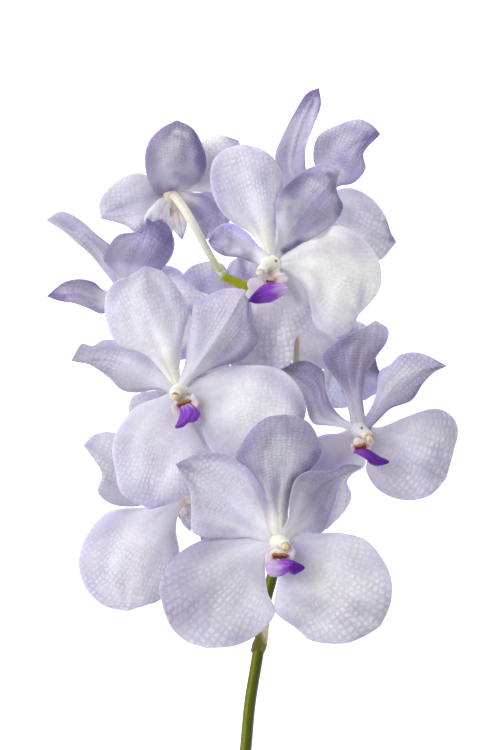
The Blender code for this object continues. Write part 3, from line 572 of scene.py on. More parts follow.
# %% Bloom at the upper left, seen from behind
BLOOMS["back_view"] = Bloom(
    from_behind=True,
    hub=(-30.5, 70, 60),
    cap=(-30.6, 68.5, 50),
    lip_base=(-29.2, 64.5, 54.5),
    lip_tip=(-26.5, 54.5, 51),
    lip=Tepal(
        left=[(-26.3, 64), (-24.8, 60.5), (-25, 56.5)],
        tip=(-26.6, 52.6),
        right=[(-32.6, 64.5), (-32.4, 61), (-30, 56.5)],
        heights=(54, 52.5, 51)),
    pedicel=[(-10.5, 38, 62), (-16, 47, 70), (-23, 60, 72), (-28.5, 68.5, 65)])
tepals = BLOOMS["back_view"].tepals
tepals["dorsal_sepal"] = Tepal(
    left=[(-36.5, 69.8), (-39.5, 75), (-41, 83), (-39.5, 90.5), (-34.5, 95.8)],
    tip=(-28.5, 98.9),
    right=[(-24, 72.3), (-18.7, 76), (-17.1, 82), (-18.6, 89), (-22.5, 95.8)],
    heights=(66, 68, 69), cup=-3, tones="lilac deep dusk plum plum", cell=(1.2, 1.2), net=0.9,
    stains_and_painted_shade=[
        ((-32.5, 83), (-29.5, 90), 5.0, "ash", 0.8),
        ((-28.5, 94.5), (-24.5, 93), 2.8, "mist", 0.8),
        ((-21, 93), (-18.2, 80), 4.2, "grape", 0.9),
        ((-37, 72), (-32, 71), 4.6, "shade", 0.9),
        ((-27, 76.5), (-20, 76), 5.5, "deep", 0.8),
        ((-36.5, 93.5), (-30, 97.5), 3.6, "shade", 0.8)])
tepals["left_petal"] = Tepal(
    left=[(-36, 63), (-43, 54.8), (-49, 58.2)],
    tip=(-58.2, 60.8),
    right=[(-36, 74.5), (-43, 78.4), (-52, 75), (-58.5, 67.5)],
    heights=(56, 53, 52), tilt=1, cup=-2, tones="deep pale haze ash mist")
tepals["right_petal"] = Tepal(
    left=[(-27, 76), (-22.5, 84), (-18.5, 90.7), (-13, 93.4)],
    tip=(-4.5, 91),
    right=[(-23, 71), (-14, 71), (-7, 76), (-3, 84)],
    heights=(56, 54, 54), cup=-1, tones="milk milk haze milk lilac")
tepals["left_sepal"] = Tepal(
    left=[(-31.5, 64.5), (-30, 57), (-33.5, 47)],
    tip=(-41, 43),
    right=[(-38, 66.5), (-43, 58), (-46, 49)],
    heights=(55, 50, 44), net=0.4, tones="ash milk haze milk milk")
tepals["right_sepal"] = Tepal(
    left=[(-22, 70.8), (-14, 70.3), (-8, 65), (-9, 58)],
    tip=(-17, 52.5),
    right=[(-26, 65), (-23, 59), (-19.5, 54)],
    heights=(56, 52, 48), tones="milk violet violet plum lilac")
print(len(tepals), "tepals")

# %% Bloom at the lower left, seen from behind
BLOOMS["low_back"] = Bloom(
    from_behind=True,
    hub=(-25.8, -47.5, 40),
    cap=(-25.5, -49, 31),
    lip_base=(-26.5, -53, 33),
    lip_tip=(-24.5, -62, 30),
    lip=Tepal(
        left=[(-22.6, -49.5), (-22.4, -53.5), (-22.6, -57.5)],
        tip=(-23.4, -60.6),
        right=[(-28.8, -50), (-27.8, -54.5), (-25.8, -58.4)],
        heights=(33, 31.5, 30)),
    pedicel=[(9, -48, 48), (-3, -49, 46), (-15, -48.5, 44.5), (-22.5, -48, 43)],
    mesh=MIDDLE_MESH)
tepals = BLOOMS["low_back"].tepals
tepals["left_sepal"] = Tepal(
    left=[(-28, -54), (-28.8, -61), (-27.5, -69), (-29, -80), (-35.5, -87.5), (-41, -89.5)],
    tip=(-48, -91.7),
    right=[(-38, -51), (-49, -51.6), (-57, -54), (-64.5, -64), (-66.6, -74), (-64, -82.5), (-57, -89.5)],
    heights=(39, 38, 34), cup=-3, wave=1.0, tones="mist ash pale mist pale")
tepals["left_petal"] = Tepal(
    left=[(-36, -49), (-45, -51), (-54, -50), (-59.2, -45.5), (-57.8, -38)],
    tip=(-64.8, -27.2),
    right=[(-33, -41), (-39, -32), (-47, -25), (-54, -22.2), (-60.5, -23)],
    heights=(42, 45, 44), cup=-1, wave=1.0, tones="pale ash ash mist mist")
tepals["dorsal_sepal"] = Tepal(
    left=[(-31, -38), (-41, -27), (-47, -16), (-46.3, -9)],
    tip=(-42, -6.6),
    right=[(-24, -38), (-24, -26), (-27, -13), (-32, -6.3)],
    heights=(38, 36, 38), cup=-2, tones="lilac ash haze ash haze")
tepals["right_petal"] = Tepal(
    left=[(-21, -39), (-14, -34), (-8, -35)],
    tip=(-3, -40),
    right=[(-19, -50), (-10, -51), (-4, -47)],
    heights=(34, 30, 28), tones="pale white white ash dusk")
tepals["right_sepal"] = Tepal(
    left=[(-18, -52), (-8, -56), (-1, -64)],
    tip=(-4, -76),
    right=[(-20.5, -57), (-18.5, -68), (-12, -77)],
    heights=(35, 30, 26), tones="ash lilac mist plum haze")
print(len(tepals), "tepals")

# %% Bloom at the far left
BLOOMS["far_left"] = Bloom(
    hub=(-48.5, 32, 42),
    cap=(-52, 32.5, 50),
    lip_base=(-49, 27, 48),
    lip_tip=(-49.5, 18, 54),
    pedicel=[(0, 26, 48), (-14, 29, 40), (-30, 34, 34), (-42, 37.5, 35)])
tepals = BLOOMS["far_left"].tepals
tepals["dorsal_sepal"] = Tepal(
    left=[(-53.3, 35.5), (-56.7, 40), (-62.3, 46.9), (-68, 51.7), (-74, 57)],
    tip=(-79.5, 60.3),
    right=[(-49.5, 43), (-53.6, 49.7), (-60, 54.8), (-66.5, 60.5), (-73.5, 63.6)],
    heights=(44, 50, 56), tilt=7, cup=2, tones="violet ash lilac lilac pale", keel=1.2)
tepals["right_petal"] = Tepal(
    left=[(-52.5, 40), (-57.4, 44.8), (-54.6, 50.6), (-51.4, 54.3), (-46, 55.3), (-41.5, 55.4)],
    tip=(-40.2, 60.9),
    right=[
        (-42, 35.5), (-35, 40.5), (-30.6, 46), (-29.5, 51.5), (-31.5, 57.2), (-34.6, 60.4), (-37.6, 59.4)],
    heights=(50, 58, 60), cup=-3, wave=1.6, net=0.8, tones="mist deep violet iris iris",
    stains_and_painted_shade=[((-50, 48), (-46, 44), 4.5, "dusk", 0.6), ((-38, 58.5), (-32, 53), 5.5, "grape", 0.6)])
tepals["left_petal"] = Tepal(
    left=[(-57, 23.8), (-63, 25.8), (-68.5, 27.8), (-74, 28.7)],
    tip=(-79, 30.5),
    right=[(-56.5, 32.8), (-61, 36.2), (-67, 37.2), (-73, 35.6)],
    heights=(43, 42, 40), tilt=-4, cup=2, tones="mist plum dusk shade grape",
    stains_and_painted_shade=[((-79, 30.4), (-73, 30), 3.0, "grape", 0.8)])
tepals["right_sepal"] = Tepal(
    left=[(-42, 37), (-34, 42.4), (-28, 41), (-24, 36.5)],
    tip=(-17.5, 30),
    right=[(-44, 27), (-36, 21), (-26, 24.5)],
    heights=(41, 42, 42), cup=-1, tones="pale sky pale sky mist")
tepals["left_sepal"] = Tepal(
    left=[(-44, 26), (-37, 19), (-36, 12)],
    tip=(-44, 4),
    right=[(-52, 26), (-52, 18), (-48, 9)],
    heights=(16, RESTING, RESTING), wave=0, tones="haze pale haze lilac white")
print(len(tepals), "tepals")

# %% Bloom at the top right
BLOOMS["top_back"] = Bloom(
    hub=(28.9, 66, 44),
    cap=(30, 67.5, 54),
    lip_base=(28, 61, 49),
    lip_tip=(25, 53, 56),
    pedicel=[(4.5, 24, 49), (8, 36, 37), (13, 53, 31), (22, 67, 32)])
tepals = BLOOMS["top_back"].tepals
tepals["dorsal_sepal"] = Tepal(
    left=[(13.5, 71), (11, 78), (9.6, 85), (13.3, 94.6), (17.6, 102.7), (22, 109.4)],
    tip=(26.6, 111.4),
    right=[(24.5, 73), (21.5, 80), (21.4, 88), (24.2, 96), (27.3, 104.5)],
    heights=(46, 50, 56), tilt=6, cup=2, tones="plum plum dusk plum grape", keel=1.2, margin=0.3,
    stains_and_painted_shade=[((25.6, 107), (22, 90), 1.8, "mist", 0.5)])
tepals["right_petal"] = Tepal(
    left=[(26.5, 76), (24.3, 85), (26.5, 93), (34.5, 97.3), (42, 99.3), (47, 97.2)],
    tip=(50.4, 93.5),
    right=[(33.5, 72.8), (40, 74.5), (44.6, 80), (43.9, 86)],
    heights=(48, 52, 50), cup=2, wave=1.5, tones="mist mist lilac plum violet", cell=(1.3, 1.3), net=0.9,
    stains_and_painted_shade=[
        ((36, 97), (44, 93), 4.0, "violet", 0.7),
        ((43.5, 88), (49.5, 94), 4.2, "grape", 0.8),
        ((35, 84), (42, 77), 4.5, "iris", 0.6)])
tepals["right_sepal"] = Tepal(
    left=[(33, 71.5), (39, 72.6), (46.5, 69), (52, 62.5), (54.6, 55)],
    tip=(56.6, 51.6),
    right=[(33, 60), (36, 52), (42, 46.5), (50, 44.5)],
    heights=(44, 46, 42), cup=-2, tones="frost mist mist pale lilac", cell=(1.9, 1.9), net=0.8, margin=0.25,
    stains_and_painted_shade=[((55.4, 53.5), (53, 59.5), 2.4, "shade", 0.8)])
tepals["left_petal"] = Tepal(
    left=[(21, 60), (13, 52), (6, 49)],
    tip=(1, 55),
    right=[(20, 68), (11, 69), (3, 64)],
    heights=(41, 40, 40), cup=-1, tones="pale milk milk milk mist")
tepals["left_sepal"] = Tepal(
    left=[(40, 58), (47, 48), (45, 38)],
    tip=(37, 32),
    right=[(28, 57), (27, 48), (28, 38)],
    heights=(15, RESTING, RESTING), wave=0, tones="dusk milk milk pale pale")
print(len(tepals), "tepals")

# %% Bloom behind the right one
BLOOMS["right_back"] = Bloom(
    hub=(40, 4, 22),
    cap=(42, 5.5, 31),
    lip_base=(39.5, -0.5, 29),
    lip_tip=(38, -9, 34),
    pedicel=[(13.5, -14, 47), (18, -11, 34), (26, -6, 18), (36, 2, 14)])
tepals = BLOOMS["right_back"].tepals
tepals["dorsal_sepal"] = Tepal(
    left=[(35, 10), (33.5, 16), (35.5, 20)],
    tip=(40.5, 21.4),
    right=[(43, 10), (47, 14), (45, 19)],
    heights=(25, 28, 28), cup=1, tones="plum sky violet frost frost")
tepals["left_petal"] = Tepal(
    left=[(33, 1), (26, 3), (18, 6)],
    tip=(9, 14),
    right=[(37, 11), (32, 17.5), (24.5, 22), (16, 21)],
    heights=(24, 22, 20), cup=1, tones="plum haze mist pale lilac")
tepals["right_petal"] = Tepal(
    left=[(44.5, 9), (48.2, 7), (49.8, 1.8), (54, -1)],
    tip=(64, -4),
    right=[(43, -3), (43.6, -9.8), (48.8, -7.4), (58, -9)],
    heights=(22, 20, 20), cup=1, tones="plum shade blue sky blue",
    stains_and_painted_shade=[((44.5, 7), (48.5, 3), 3.6, "shade", 0.9), ((44.5, -8), (46.5, -3), 4.2, "sky", 0.9)])
tepals["right_sepal"] = Tepal(
    left=[(43, -3), (43, -16), (49, -25)],
    tip=(50, -32),
    right=[(39, -4), (38.5, -16), (42, -27)],
    heights=(18, 14, 10), tones="ash lilac deep deep dusk")
tepals["left_sepal"] = Tepal(
    left=[(38, -2), (38.5, -8), (38, -12.2)],
    tip=(33, -13),
    right=[(30, 4.5), (27.6, -2), (27.4, -9.5)],
    heights=(20, 18, 16), cup=1, tones="haze frost frost frost frost")
print(len(tepals), "tepals")

# %% Bloom behind the left one
BLOOMS["left_back"] = Bloom(
    from_behind=True,
    hub=(-12, 17, 24),
    cap=(-12.2, 15.5, 14),
    lip_base=(-12, 12, 16),
    lip_tip=(-11, 2, 9),
    pedicel=[(7, 15.5, 49), (1, 16.5, 43), (-6, 17, 36), (-10.5, 17, 30)])
tepals = BLOOMS["left_back"].tepals
tepals["dorsal_sepal"] = Tepal(
    left=[(-22.5, 22), (-27, 31), (-26, 39), (-22, 42.7)],
    tip=(-16.5, 44.2),
    right=[(-9, 25), (-8.4, 36), (-10.5, 42.8)],
    heights=(26, 27, 27), cup=1, tones="pale sky sky lilac milk")
tepals["right_petal"] = Tepal(
    left=[(-10, 26), (-10, 36), (-8, 43.5)],
    tip=(-1.5, 47),
    right=[(-4, 22), (2, 30), (4.2, 39.5), (3, 44.4)],
    heights=(22, 24, 26), cup=1, tones="haze haze blue haze milk",
    stains_and_painted_shade=[((-4, 45.5), (-2.5, 38), 3.0, "iris", 0.8)])
tepals["left_petal"] = Tepal(
    left=[(-18, 12), (-26, 6), (-33, 8)],
    tip=(-35, 14),
    right=[(-18, 22.5), (-26, 25), (-32, 21)],
    heights=(21, 18, 16), tones="milk violet white milk lilac")
tepals["left_sepal"] = Tepal(
    left=[(-9.5, 8), (-6, -3), (-9, -14)],
    tip=(-17, -18),
    right=[(-17, 8.5), (-23.5, -1), (-24, -12)],
    heights=(22, 20, 18), tones="lilac haze ash plum lilac")
tepals["right_sepal"] = Tepal(
    left=[(-5, 13), (6, 9), (12, 1)],
    tip=(9, -9),
    right=[(-7, 9), (-5, 0), (2, -8)],
    heights=(20, 14, 10), tones="violet pale pale haze mist")
print(len(BLOOMS), "blooms,", sum(len(bloom.tepals) for bloom in BLOOMS.values()), "tepals")

# %% [markdown]
# ## The surface of a tepal
#
# A tepal is a thin blade on a narrow claw. Its two edges and its rib are smooth curves, and a
# parabola across joins them at every step along the blade. The same rule made the solids, with few
# rows. Here the rows are many, so there is room for what a real blade has: a groove along the rib,
# low folds that run out from the claw, soft swells, and a rim that ripples and rolls back.

# %% Blade rule
CLAW_HALF_WIDTH = 2.4
RIB_STOPS = (0.33, 0.62)
SPREAD_POWER = 0.8
WAVES = 2.5
WAVE_LEAD = 1.3
TIP_CROWDING = 1.15
FAN_BACK = 9.0
FAN_REACH = 0.6
NET_SHIFT = (3.7, 5.3)


class Blade:
    """The surface of a tepal: row(t) gives its edges and rib, height(t, s) its height.

    net_place says where a point lies on the net: which ring about the claw, and which ray.
    """

    def __init__(self, tepal, hub, claw=CLAW_HALF_WIDTH):
        base = Vector(hub[:2])
        left = [Vector(p) for p in tepal.left]
        right = [Vector(p) for p in tepal.right]
        tip = Vector(tepal.tip)
        ahead = ((left[0] + right[0]) / 2 - base).normalized()
        aside = Vector((-ahead.y, ahead.x)) * claw
        self.left = [base + aside, *left, tip]
        self.right = [base - aside, *right, tip]
        middle = [(smooth_point(self.left, t) + smooth_point(self.right, t)) / 2 for t in RIB_STOPS]
        self.rib = [base, *middle, tip]
        self.ahead = (tip - base).normalized()
        self.fan = base - self.ahead * FAN_BACK
        self.reach = FAN_REACH * (tip - base).length + FAN_BACK
        self.heights = (hub[2], *tepal.heights)
        self.tepal = tepal

    def row(self, t):
        return [smooth_point(line, t) for line in (self.left, self.rib, self.right)]

    def net_place(self, flat, seed):
        out = flat - self.fan
        angle = math.atan2(self.ahead.x * out.y - self.ahead.y * out.x, self.ahead.dot(out))
        wide, long = self.tepal.cell
        return (out.length / long + seed * NET_SHIFT[0], angle * self.reach / wide + seed * NET_SHIFT[1])

    def height(self, t, s):
        span = t * (len(self.heights) - 1)
        index = min(int(span), len(self.heights) - 2)
        step = ease(0.0, 1.0, span - index)
        along = self.heights[index] * (1 - step) + self.heights[index + 1] * step
        spread = math.sin(math.pi * t) ** SPREAD_POWER
        ripple = math.sin(2 * math.pi * WAVES * t + (WAVE_LEAD if s > 0 else 0.0))
        lift = self.tepal.tilt * s + self.tepal.cup * s * s + self.tepal.wave * ripple * s * s
        return along + spread * lift


print("a blade's rule is ready")

# %% Fine relief of a blade
GROOVE_DEPTH = 0.25
GROOVE_WIDTH = 0.15
KEEL_WIDTH = 0.28
FOLD_HEIGHT = 0.7
FOLD_LENGTHWISE = 1.3
FOLD_CROSSWISE = 3.0
FOLD_GAIN = 1.6
SWELL_HEIGHT = 1.5
SWELL_SCALE = 0.075
RUFFLE_HEIGHT = 0.9
RIM_ROLL = 0.9
CLAW_ARCH = 1.0


def fold_of(t, s, seed):
    """Uneven folds that run out from the claw, from -1 in a furrow to 1 on a ridge."""
    return noise.noise(Vector((FOLD_LENGTHWISE * t + seed, FOLD_CROSSWISE * s, seed))) * FOLD_GAIN


def relief(t, s, flat, seed, keel=0.0):
    """The height, in mm, that a real blade has over its plain curved form."""
    open_part = ease(0.0, 0.35, t) * (1 - ease(0.88, 1.0, t))
    claw_part = 1 - ease(0.1, 0.4, t)
    groove = -GROOVE_DEPTH * bell(s, GROOVE_WIDTH) * (1 - t) * ease(0.0, 0.1, t)
    folds = FOLD_HEIGHT * fold_of(t, s, seed) * (1 - ease(0.55, 1.0, t)) * ease(0.25, 0.55, t)
    ridge = keel * math.exp(-abs(s) / KEEL_WIDTH) * ease(0.1, 0.4, t) * (1 - ease(0.85, 1.0, t))
    place = Vector((flat.x * SWELL_SCALE, flat.y * SWELL_SCALE, seed))
    swell = SWELL_HEIGHT * noise.noise(place) * open_part
    edge_noise = noise.noise(Vector((7.0 * t, 1.5 * s, seed + 9.0)))
    ruffle = RUFFLE_HEIGHT * edge_noise * s**4 * open_part
    roll = -RIM_ROLL * abs(s) ** 9 * open_part
    arch = CLAW_ARCH * (1 - s * s) * claw_part * ease(0.0, 0.1, t)
    return groove + folds + ridge + swell + ruffle + roll + arch


print("relief at the middle of a blade:", round(relief(0.5, 0.0, Vector((0, 0)), 1.0), 2), "mm")

# %% Colours along a blade
CLAW_END = 0.1
CLAW_FADE = 0.48
CLAW_SPREAD = 0.2
CLOUD_TINT = (0.74, 0.71, 0.82)
CLEAR_TINT = (1.12, 1.13, 1.1)
FURROW_SHADE_TINT = (0.72, 0.69, 0.8)
RIM_TINT = (0.78, 0.73, 0.93)
CLOUD_SHARE = 0.65
FURROW_SHADE_SHARE = 0.35
RIM_HIGHLIGHT = 0.35


def tinted(colour, tint, amount):
    """The colour multiplied by a tint, as far as the amount says."""
    return tuple(value * (1 + (factor - 1) * amount) for value, factor in zip(colour, tint))


def stain_or_shade_on(flat, stain_or_shade, seed):
    """How strongly a stain or a patch of painted shade covers a place: 1 along its line, falling softly to 0
    at its reach.
    """
    start, end = Vector(stain_or_shade[0]), Vector(stain_or_shade[1])
    along = min(max((flat - start).dot(end - start) / (end - start).length_squared, 0.0), 1.0)
    away = (flat - start.lerp(end, along)).length / stain_or_shade[2]
    return 1 - ease(0.0, 1.0, away + 0.4 * noise.noise(Vector((*(flat * 0.35), seed))))


def paint_of(tepal, t, s, flat, seed):
    """The colour of a blade at (t, s), from the tones of its claw, left, middle, right and tip.

    Clouds darken it, and painted shade darkens the furrows of the folds. Stains lie over it, some
    of them painted shade, and its margin is more violet, with a thin painted highlight on the rim
    in places.
    """
    claw, left, middle, right, tip = (TONES[name] for name in tepal.tones.split())
    cloud = noise.noise(Vector((3.2 * t, 2.2 * s, seed + 4.0)))
    side = blend(middle, left if s < 0 else right, ease(0.0, 0.9, abs(s)))
    ended = blend(side, tip, ease(0.74, 0.98, t + 0.12 * cloud))
    opened = ease(CLAW_END, CLAW_FADE, t + CLAW_SPREAD * s * s + 0.1 * cloud)
    colour = blend(claw, ended, opened)
    colour = tinted(colour, CLOUD_TINT, CLOUD_SHARE * ease(0.02, 0.6, cloud) * opened)
    colour = tinted(colour, CLEAR_TINT, CLOUD_SHARE * ease(0.02, 0.6, -cloud) * opened)
    # Painted shade in the furrows of the folds, where the relief dips.
    furrow = ease(0.05, 0.8, -fold_of(t, s, seed)) * (1 - ease(0.55, 0.95, t)) * ease(0.12, 0.4, t)
    colour = tinted(colour, FURROW_SHADE_TINT, FURROW_SHADE_SHARE * furrow)
    # Stains lay patches of the blade's own colour, and some lay painted shade in folds, in a dimple and under
    # a lip.
    for stain_or_shade in tepal.stains_and_painted_shade:
        colour = blend(colour, TONES[stain_or_shade[3]], stain_or_shade[4] * stain_or_shade_on(flat, stain_or_shade, seed))
    patch = noise.noise(Vector((5.0 * t, s, seed + 7.0)))
    margin = max(ease(0.66, 0.95, abs(s)), ease(0.86, 0.98, t)) * ease(0.15, 0.45, t)
    colour = tinted(colour, RIM_TINT, tepal.margin * margin * (1 + 0.8 * patch))
    # A painted highlight along the rim, in places.
    return blend(colour, TONES["white"], RIM_HIGHLIGHT * ease(0.965, 1.0, abs(s)) * ease(-0.3, 0.3, patch))


print("claw:", paint_of(BLOOMS["left"].tepals["dorsal_sepal"], 0.0, 0.0, Vector((0, 0)), 1.0))

# %% [markdown]
# ## Helpers for modelling
#
# A few habits are written once: start a new piece with nothing selected, keep a painted colour and
# the place on the blade with each vertex, and join parts into one piece.

# %% Selecting and adding
LINE_MERGE = 0.000005


def nothing_selected():
    """Leaves edit mode and deselects everything."""
    if bpy.context.mode != "OBJECT":
        bpy.ops.object.mode_set(mode="OBJECT")
    bpy.ops.object.select_all(action="DESELECT")


def only(piece):
    """Selects this piece alone and makes it the active one."""
    nothing_selected()
    piece.select_set(True)
    bpy.context.view_layer.objects.active = piece


def add_grid(name, rows, columns):
    """A flat grid that reaches from -1 to 1 in x and in y."""
    nothing_selected()
    bpy.ops.mesh.primitive_grid_add(x_subdivisions=columns, y_subdivisions=rows, size=2.0)
    bpy.context.object.name = name
    return bpy.context.object


def add_sphere(name, segments, rings):
    """A sphere of radius 1 about the origin."""
    nothing_selected()
    bpy.ops.mesh.primitive_uv_sphere_add(segments=segments, ring_count=rings, radius=1.0)
    bpy.context.object.name = name
    return bpy.context.object


def edit_all():
    """Enters edit mode with the whole of the active piece selected."""
    bpy.ops.object.mode_set(mode="EDIT")
    bpy.ops.mesh.select_all(action="SELECT")


def close_ends(outwards=False):
    """Merges the points that fall together at an end, and may turn the faces outwards."""
    edit_all()
    bpy.ops.mesh.remove_doubles(threshold=LINE_MERGE)
    if outwards:
        bpy.ops.mesh.normals_make_consistent(inside=False)
    bpy.ops.object.mode_set(mode="OBJECT")


def apply_modifiers(piece):
    only(piece)
    for modifier in list(piece.modifiers):
        bpy.ops.object.modifier_apply(modifier=modifier.name)


def join(name, parts):
    """Joins the parts into one piece with this name."""
    only(parts[0])
    for part in parts[1:]:
        part.select_set(True)
    bpy.ops.object.join()
    made = bpy.context.object
    made.name = name
    made.data.name = name
    return made


print("modelling helpers ready")

# %% Painting and finishing
def write_layer(mesh, name, kind, label, values):
    """Keeps one value with each vertex, under a name that a material can read."""
    if name not in mesh.attributes:
        mesh.attributes.new(name, kind, "POINT")
    mesh.attributes[name].data.foreach_set(label, values)


def write_paint(mesh, colours):
    write_layer(mesh, "paint", "FLOAT_COLOR", "color", colours)


def write_on_blade(mesh, places):
    write_layer(mesh, "on_blade", "FLOAT_VECTOR", "vector", places)


def paint_by(piece, rule):
    """Writes a painted colour on each vertex by a rule that is given its place in metres."""
    colours = []
    for vertex in piece.data.vertices:
        colours += (*rule(vertex.co), 1.0)
    write_paint(piece.data, colours)


def keep_off_net(piece):
    """Puts the whole piece where the net of veins has no strength."""
    write_on_blade(piece.data, [0.0] * 3 * len(piece.data.vertices))


def lay_down(piece):
    """Presses flat what would lie below the surface."""
    for vertex in piece.data.vertices:
        vertex.co.z = max(vertex.co.z, 0.0)


def finish(piece, material, slot, *nodes):
    """Gives a piece its material, hides the solids it stands for and sets it on the root body."""
    piece.data.materials.clear()
    piece.data.materials.append(material)
    for polygon in piece.data.polygons:
        polygon.material_index = 0
    piece.data.shade_smooth()
    piece.data.update()
    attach(piece, "root")
    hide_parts(*nodes)
    triangles = sum(len(polygon.vertices) - 2 for polygon in piece.data.polygons)
    print(piece.name, triangles, "triangles")


# %% [markdown]
# ## Shared effects
#
# Two effects are shared, so each is a node group. The first is the net of veins. Between the veins a
# petal is paler and bulges a little, so the net shows as rows of soft pale cells. Neighbouring rows
# are shifted a little, and a slow warp keeps the cells from being even. Its place on the blade comes
# as an attribute, so the net fans out from the claw as the real one does. The second is a soft mottle.
# Small helpers then let every material shade its colour and raise its skin in the same way.

# %% Node helpers
def new_group(name, inputs, outputs):
    """A shader node group with these sockets, and its two end nodes."""
    tree = bpy.data.node_groups.new(name, "ShaderNodeTree")
    for label, kind, value in inputs:
        socket = tree.interface.new_socket(label, in_out="INPUT", socket_type=kind)
        if value is not None:
            socket.default_value = value
    for label, kind in outputs:
        tree.interface.new_socket(label, in_out="OUTPUT", socket_type=kind)
    return tree, tree.nodes.new("NodeGroupInput"), tree.nodes.new("NodeGroupOutput")


def add_node(tree, kind, settings=None, **sockets):
    """Adds a node with its settings and the values or links of its sockets, and gives its outputs."""
    made = tree.nodes.new("ShaderNode" + kind)
    for key, value in (settings or {}).items():
        setattr(made, key, value)
    set_sockets(made, **sockets)
    return made.outputs


def math_node(tree, operation, *values):
    """The result of a Math node."""
    sockets = {f"_{index}": value for index, value in enumerate(values)}
    return add_node(tree, "Math", {"operation": operation}, **sockets)[0]


def vector_node(tree, operation, first, second):
    """The result of a Vector Math node. To scale takes a number as its second value."""
    label = "Scale" if operation == "SCALE" else "_1"
    return add_node(tree, "VectorMath", {"operation": operation}, _0=first, **{label: second})[0]


def noise_node(tree, place, size, detail):
    """Soft noise at a place."""
    return add_node(tree, "TexNoise", Vector=place, Scale=size, Detail=detail)[0]


def stretched(tree, value, low, high, start=0.3, end=0.7):
    """A value that runs from start to end, stretched to run from low to high."""
    return add_node(tree, "MapRange", Value=value, From_Min=start, From_Max=end, To_Min=low, To_Max=high)[0]


def summed(tree, first, first_share, second, second_share):
    """The sum of two values, each times its share."""
    return math_node(
        tree, "MULTIPLY_ADD", first, first_share, math_node(tree, "MULTIPLY", second, second_share))


def mix_colour(tree, mode, amount, first, second):
    """Mixes two colours and gives the mixed colour."""
    return add_node(tree, "Mix", {"data_type": "RGBA", "blend_type": mode}, _0=amount, _6=first, _7=second)[2]


print("node helpers ready")

# %% Net of veins
WARP_SCALE = 0.5
WARP_AMOUNT = 1.2
STAGGER = 0.5
CELL_MIDDLE = 0.14
CELL_EDGE = 0.5

vein_net, ends_in, ends_out = new_group(
    "net of veins", [("Place", "NodeSocketVector", None)], [("Cells", "NodeSocketFloat")])
place = ends_in.outputs["Place"]
cloud = add_node(vein_net, "TexNoise", Vector=place, Scale=WARP_SCALE, Detail=2.0)["Color"]
centred = vector_node(vein_net, "SUBTRACT", cloud, (0.5, 0.5, 0.5))
warped = vector_node(vein_net, "ADD", place, vector_node(vein_net, "SCALE", centred, WARP_AMOUNT))
parted = add_node(vein_net, "SeparateXYZ", Vector=warped)
line = math_node(vein_net, "FLOOR", parted["Y"])
across = math_node(vein_net, "FRACT", parted["Y"])
line_shift = add_node(vein_net, "TexWhiteNoise", {"noise_dimensions": "1D"}, W=line)["Value"]
along = math_node(vein_net, "MULTIPLY_ADD", line_shift, STAGGER, parted["X"])
within = math_node(vein_net, "FRACT", along)


def inside_cell(value):
    """1 in the middle of a cell, falling softly to 0 at its edge."""
    middle = math_node(vein_net, "ABSOLUTE", math_node(vein_net, "SUBTRACT", value, 0.5))
    return add_node(
        vein_net, "MapRange", {"interpolation_type": "SMOOTHSTEP"},
        Value=middle, From_Min=CELL_MIDDLE, From_Max=CELL_EDGE, To_Min=1.0, To_Max=0.0)[0]


blister = math_node(vein_net, "MULTIPLY", inside_cell(across), inside_cell(within))
cell = add_node(vein_net, "CombineXYZ", X=math_node(vein_net, "FLOOR", along), Y=line)[0]
cell_tone = add_node(vein_net, "TexWhiteNoise", {"noise_dimensions": "2D"}, Vector=cell)["Value"]
weight = math_node(vein_net, "MULTIPLY_ADD", cell_tone, 0.6, 0.7)
vein_net.links.new(math_node(vein_net, "MULTIPLY", blister, weight), ends_out.inputs["Cells"])
print("net of veins ready")

# %% Mottle
BROAD_SHARE = 0.65
FINE_SHARE = 0.35
TIMES_FINER = 7.0

mottle, ends_in, ends_out = new_group(
    "mottle", [("Place", "NodeSocketVector", None), ("Size", "NodeSocketFloat", 100.0)],
    [("Mottle", "NodeSocketFloat")])
place, size = ends_in.outputs["Place"], ends_in.outputs["Size"]
broad = noise_node(mottle, place, size, 3.0)
fine = noise_node(mottle, place, math_node(mottle, "MULTIPLY", size, TIMES_FINER), 2.0)
mottle.links.new(summed(mottle, fine, FINE_SHARE, broad, BROAD_SHARE), ends_out.inputs["Mottle"])
print("mottle ready")

# %% What the materials share
def new_material(name, roughness):
    """A material with its tree, its shader and the painted colour."""
    made = bpy.data.materials.new(name)
    made.use_nodes = True
    tree = made.node_tree
    shader = tree.nodes["Principled BSDF"]
    set_sockets(shader, Roughness=roughness)
    return made, tree, shader, add_node(tree, "Attribute", {"attribute_name": "paint"})["Color"]


def blade_place(tree):
    """The place on the blade. Its third value is how strongly the net shows."""
    return add_node(tree, "Attribute", {"attribute_name": "on_blade"})["Vector"]


def mottled(tree, size):
    """The mottle on the piece's own coordinates."""
    place = add_node(tree, "TexCoord")["Object"]
    return add_node(tree, "Group", {"node_tree": mottle}, Place=place, Size=size)["Mottle"]


def streaked(tree, place, stretch, detail=2.0):
    """Noise that is drawn out into streaks."""
    return noise_node(tree, vector_node(tree, "MULTIPLY", place, stretch), 1.0, detail)


def shaded(tree, colour, uneven, low, high):
    """The colour, darker and lighter as the unevenness says."""
    return vector_node(tree, "SCALE", colour, stretched(tree, uneven, low, high))


def bumped(tree, height, strength, depth):
    """The way a surface faces when it has a fine relief of this depth in metres."""
    return add_node(tree, "Bump", Strength=strength, Distance=depth, Height=height)[0]


print("material helpers ready")

# %% [markdown]
# ## The tepals' material
#
# A tepal is waxy and thin. Its colour is the painted tone, darker and more violet along the veins and
# paler in the cells between them, with a soft mottle. In some patches the net is strong and in
# others it has nearly faded. The cells also bulge a little, and fine lines run along the blade.
# Light spreads a little inside it, which softens the shading.

# %% Material of the tepals
VEIN_TINT = (0.88, 0.87, 0.9, 1.0)
CELL_TINT = (1.11, 1.11, 1.09, 1.0)

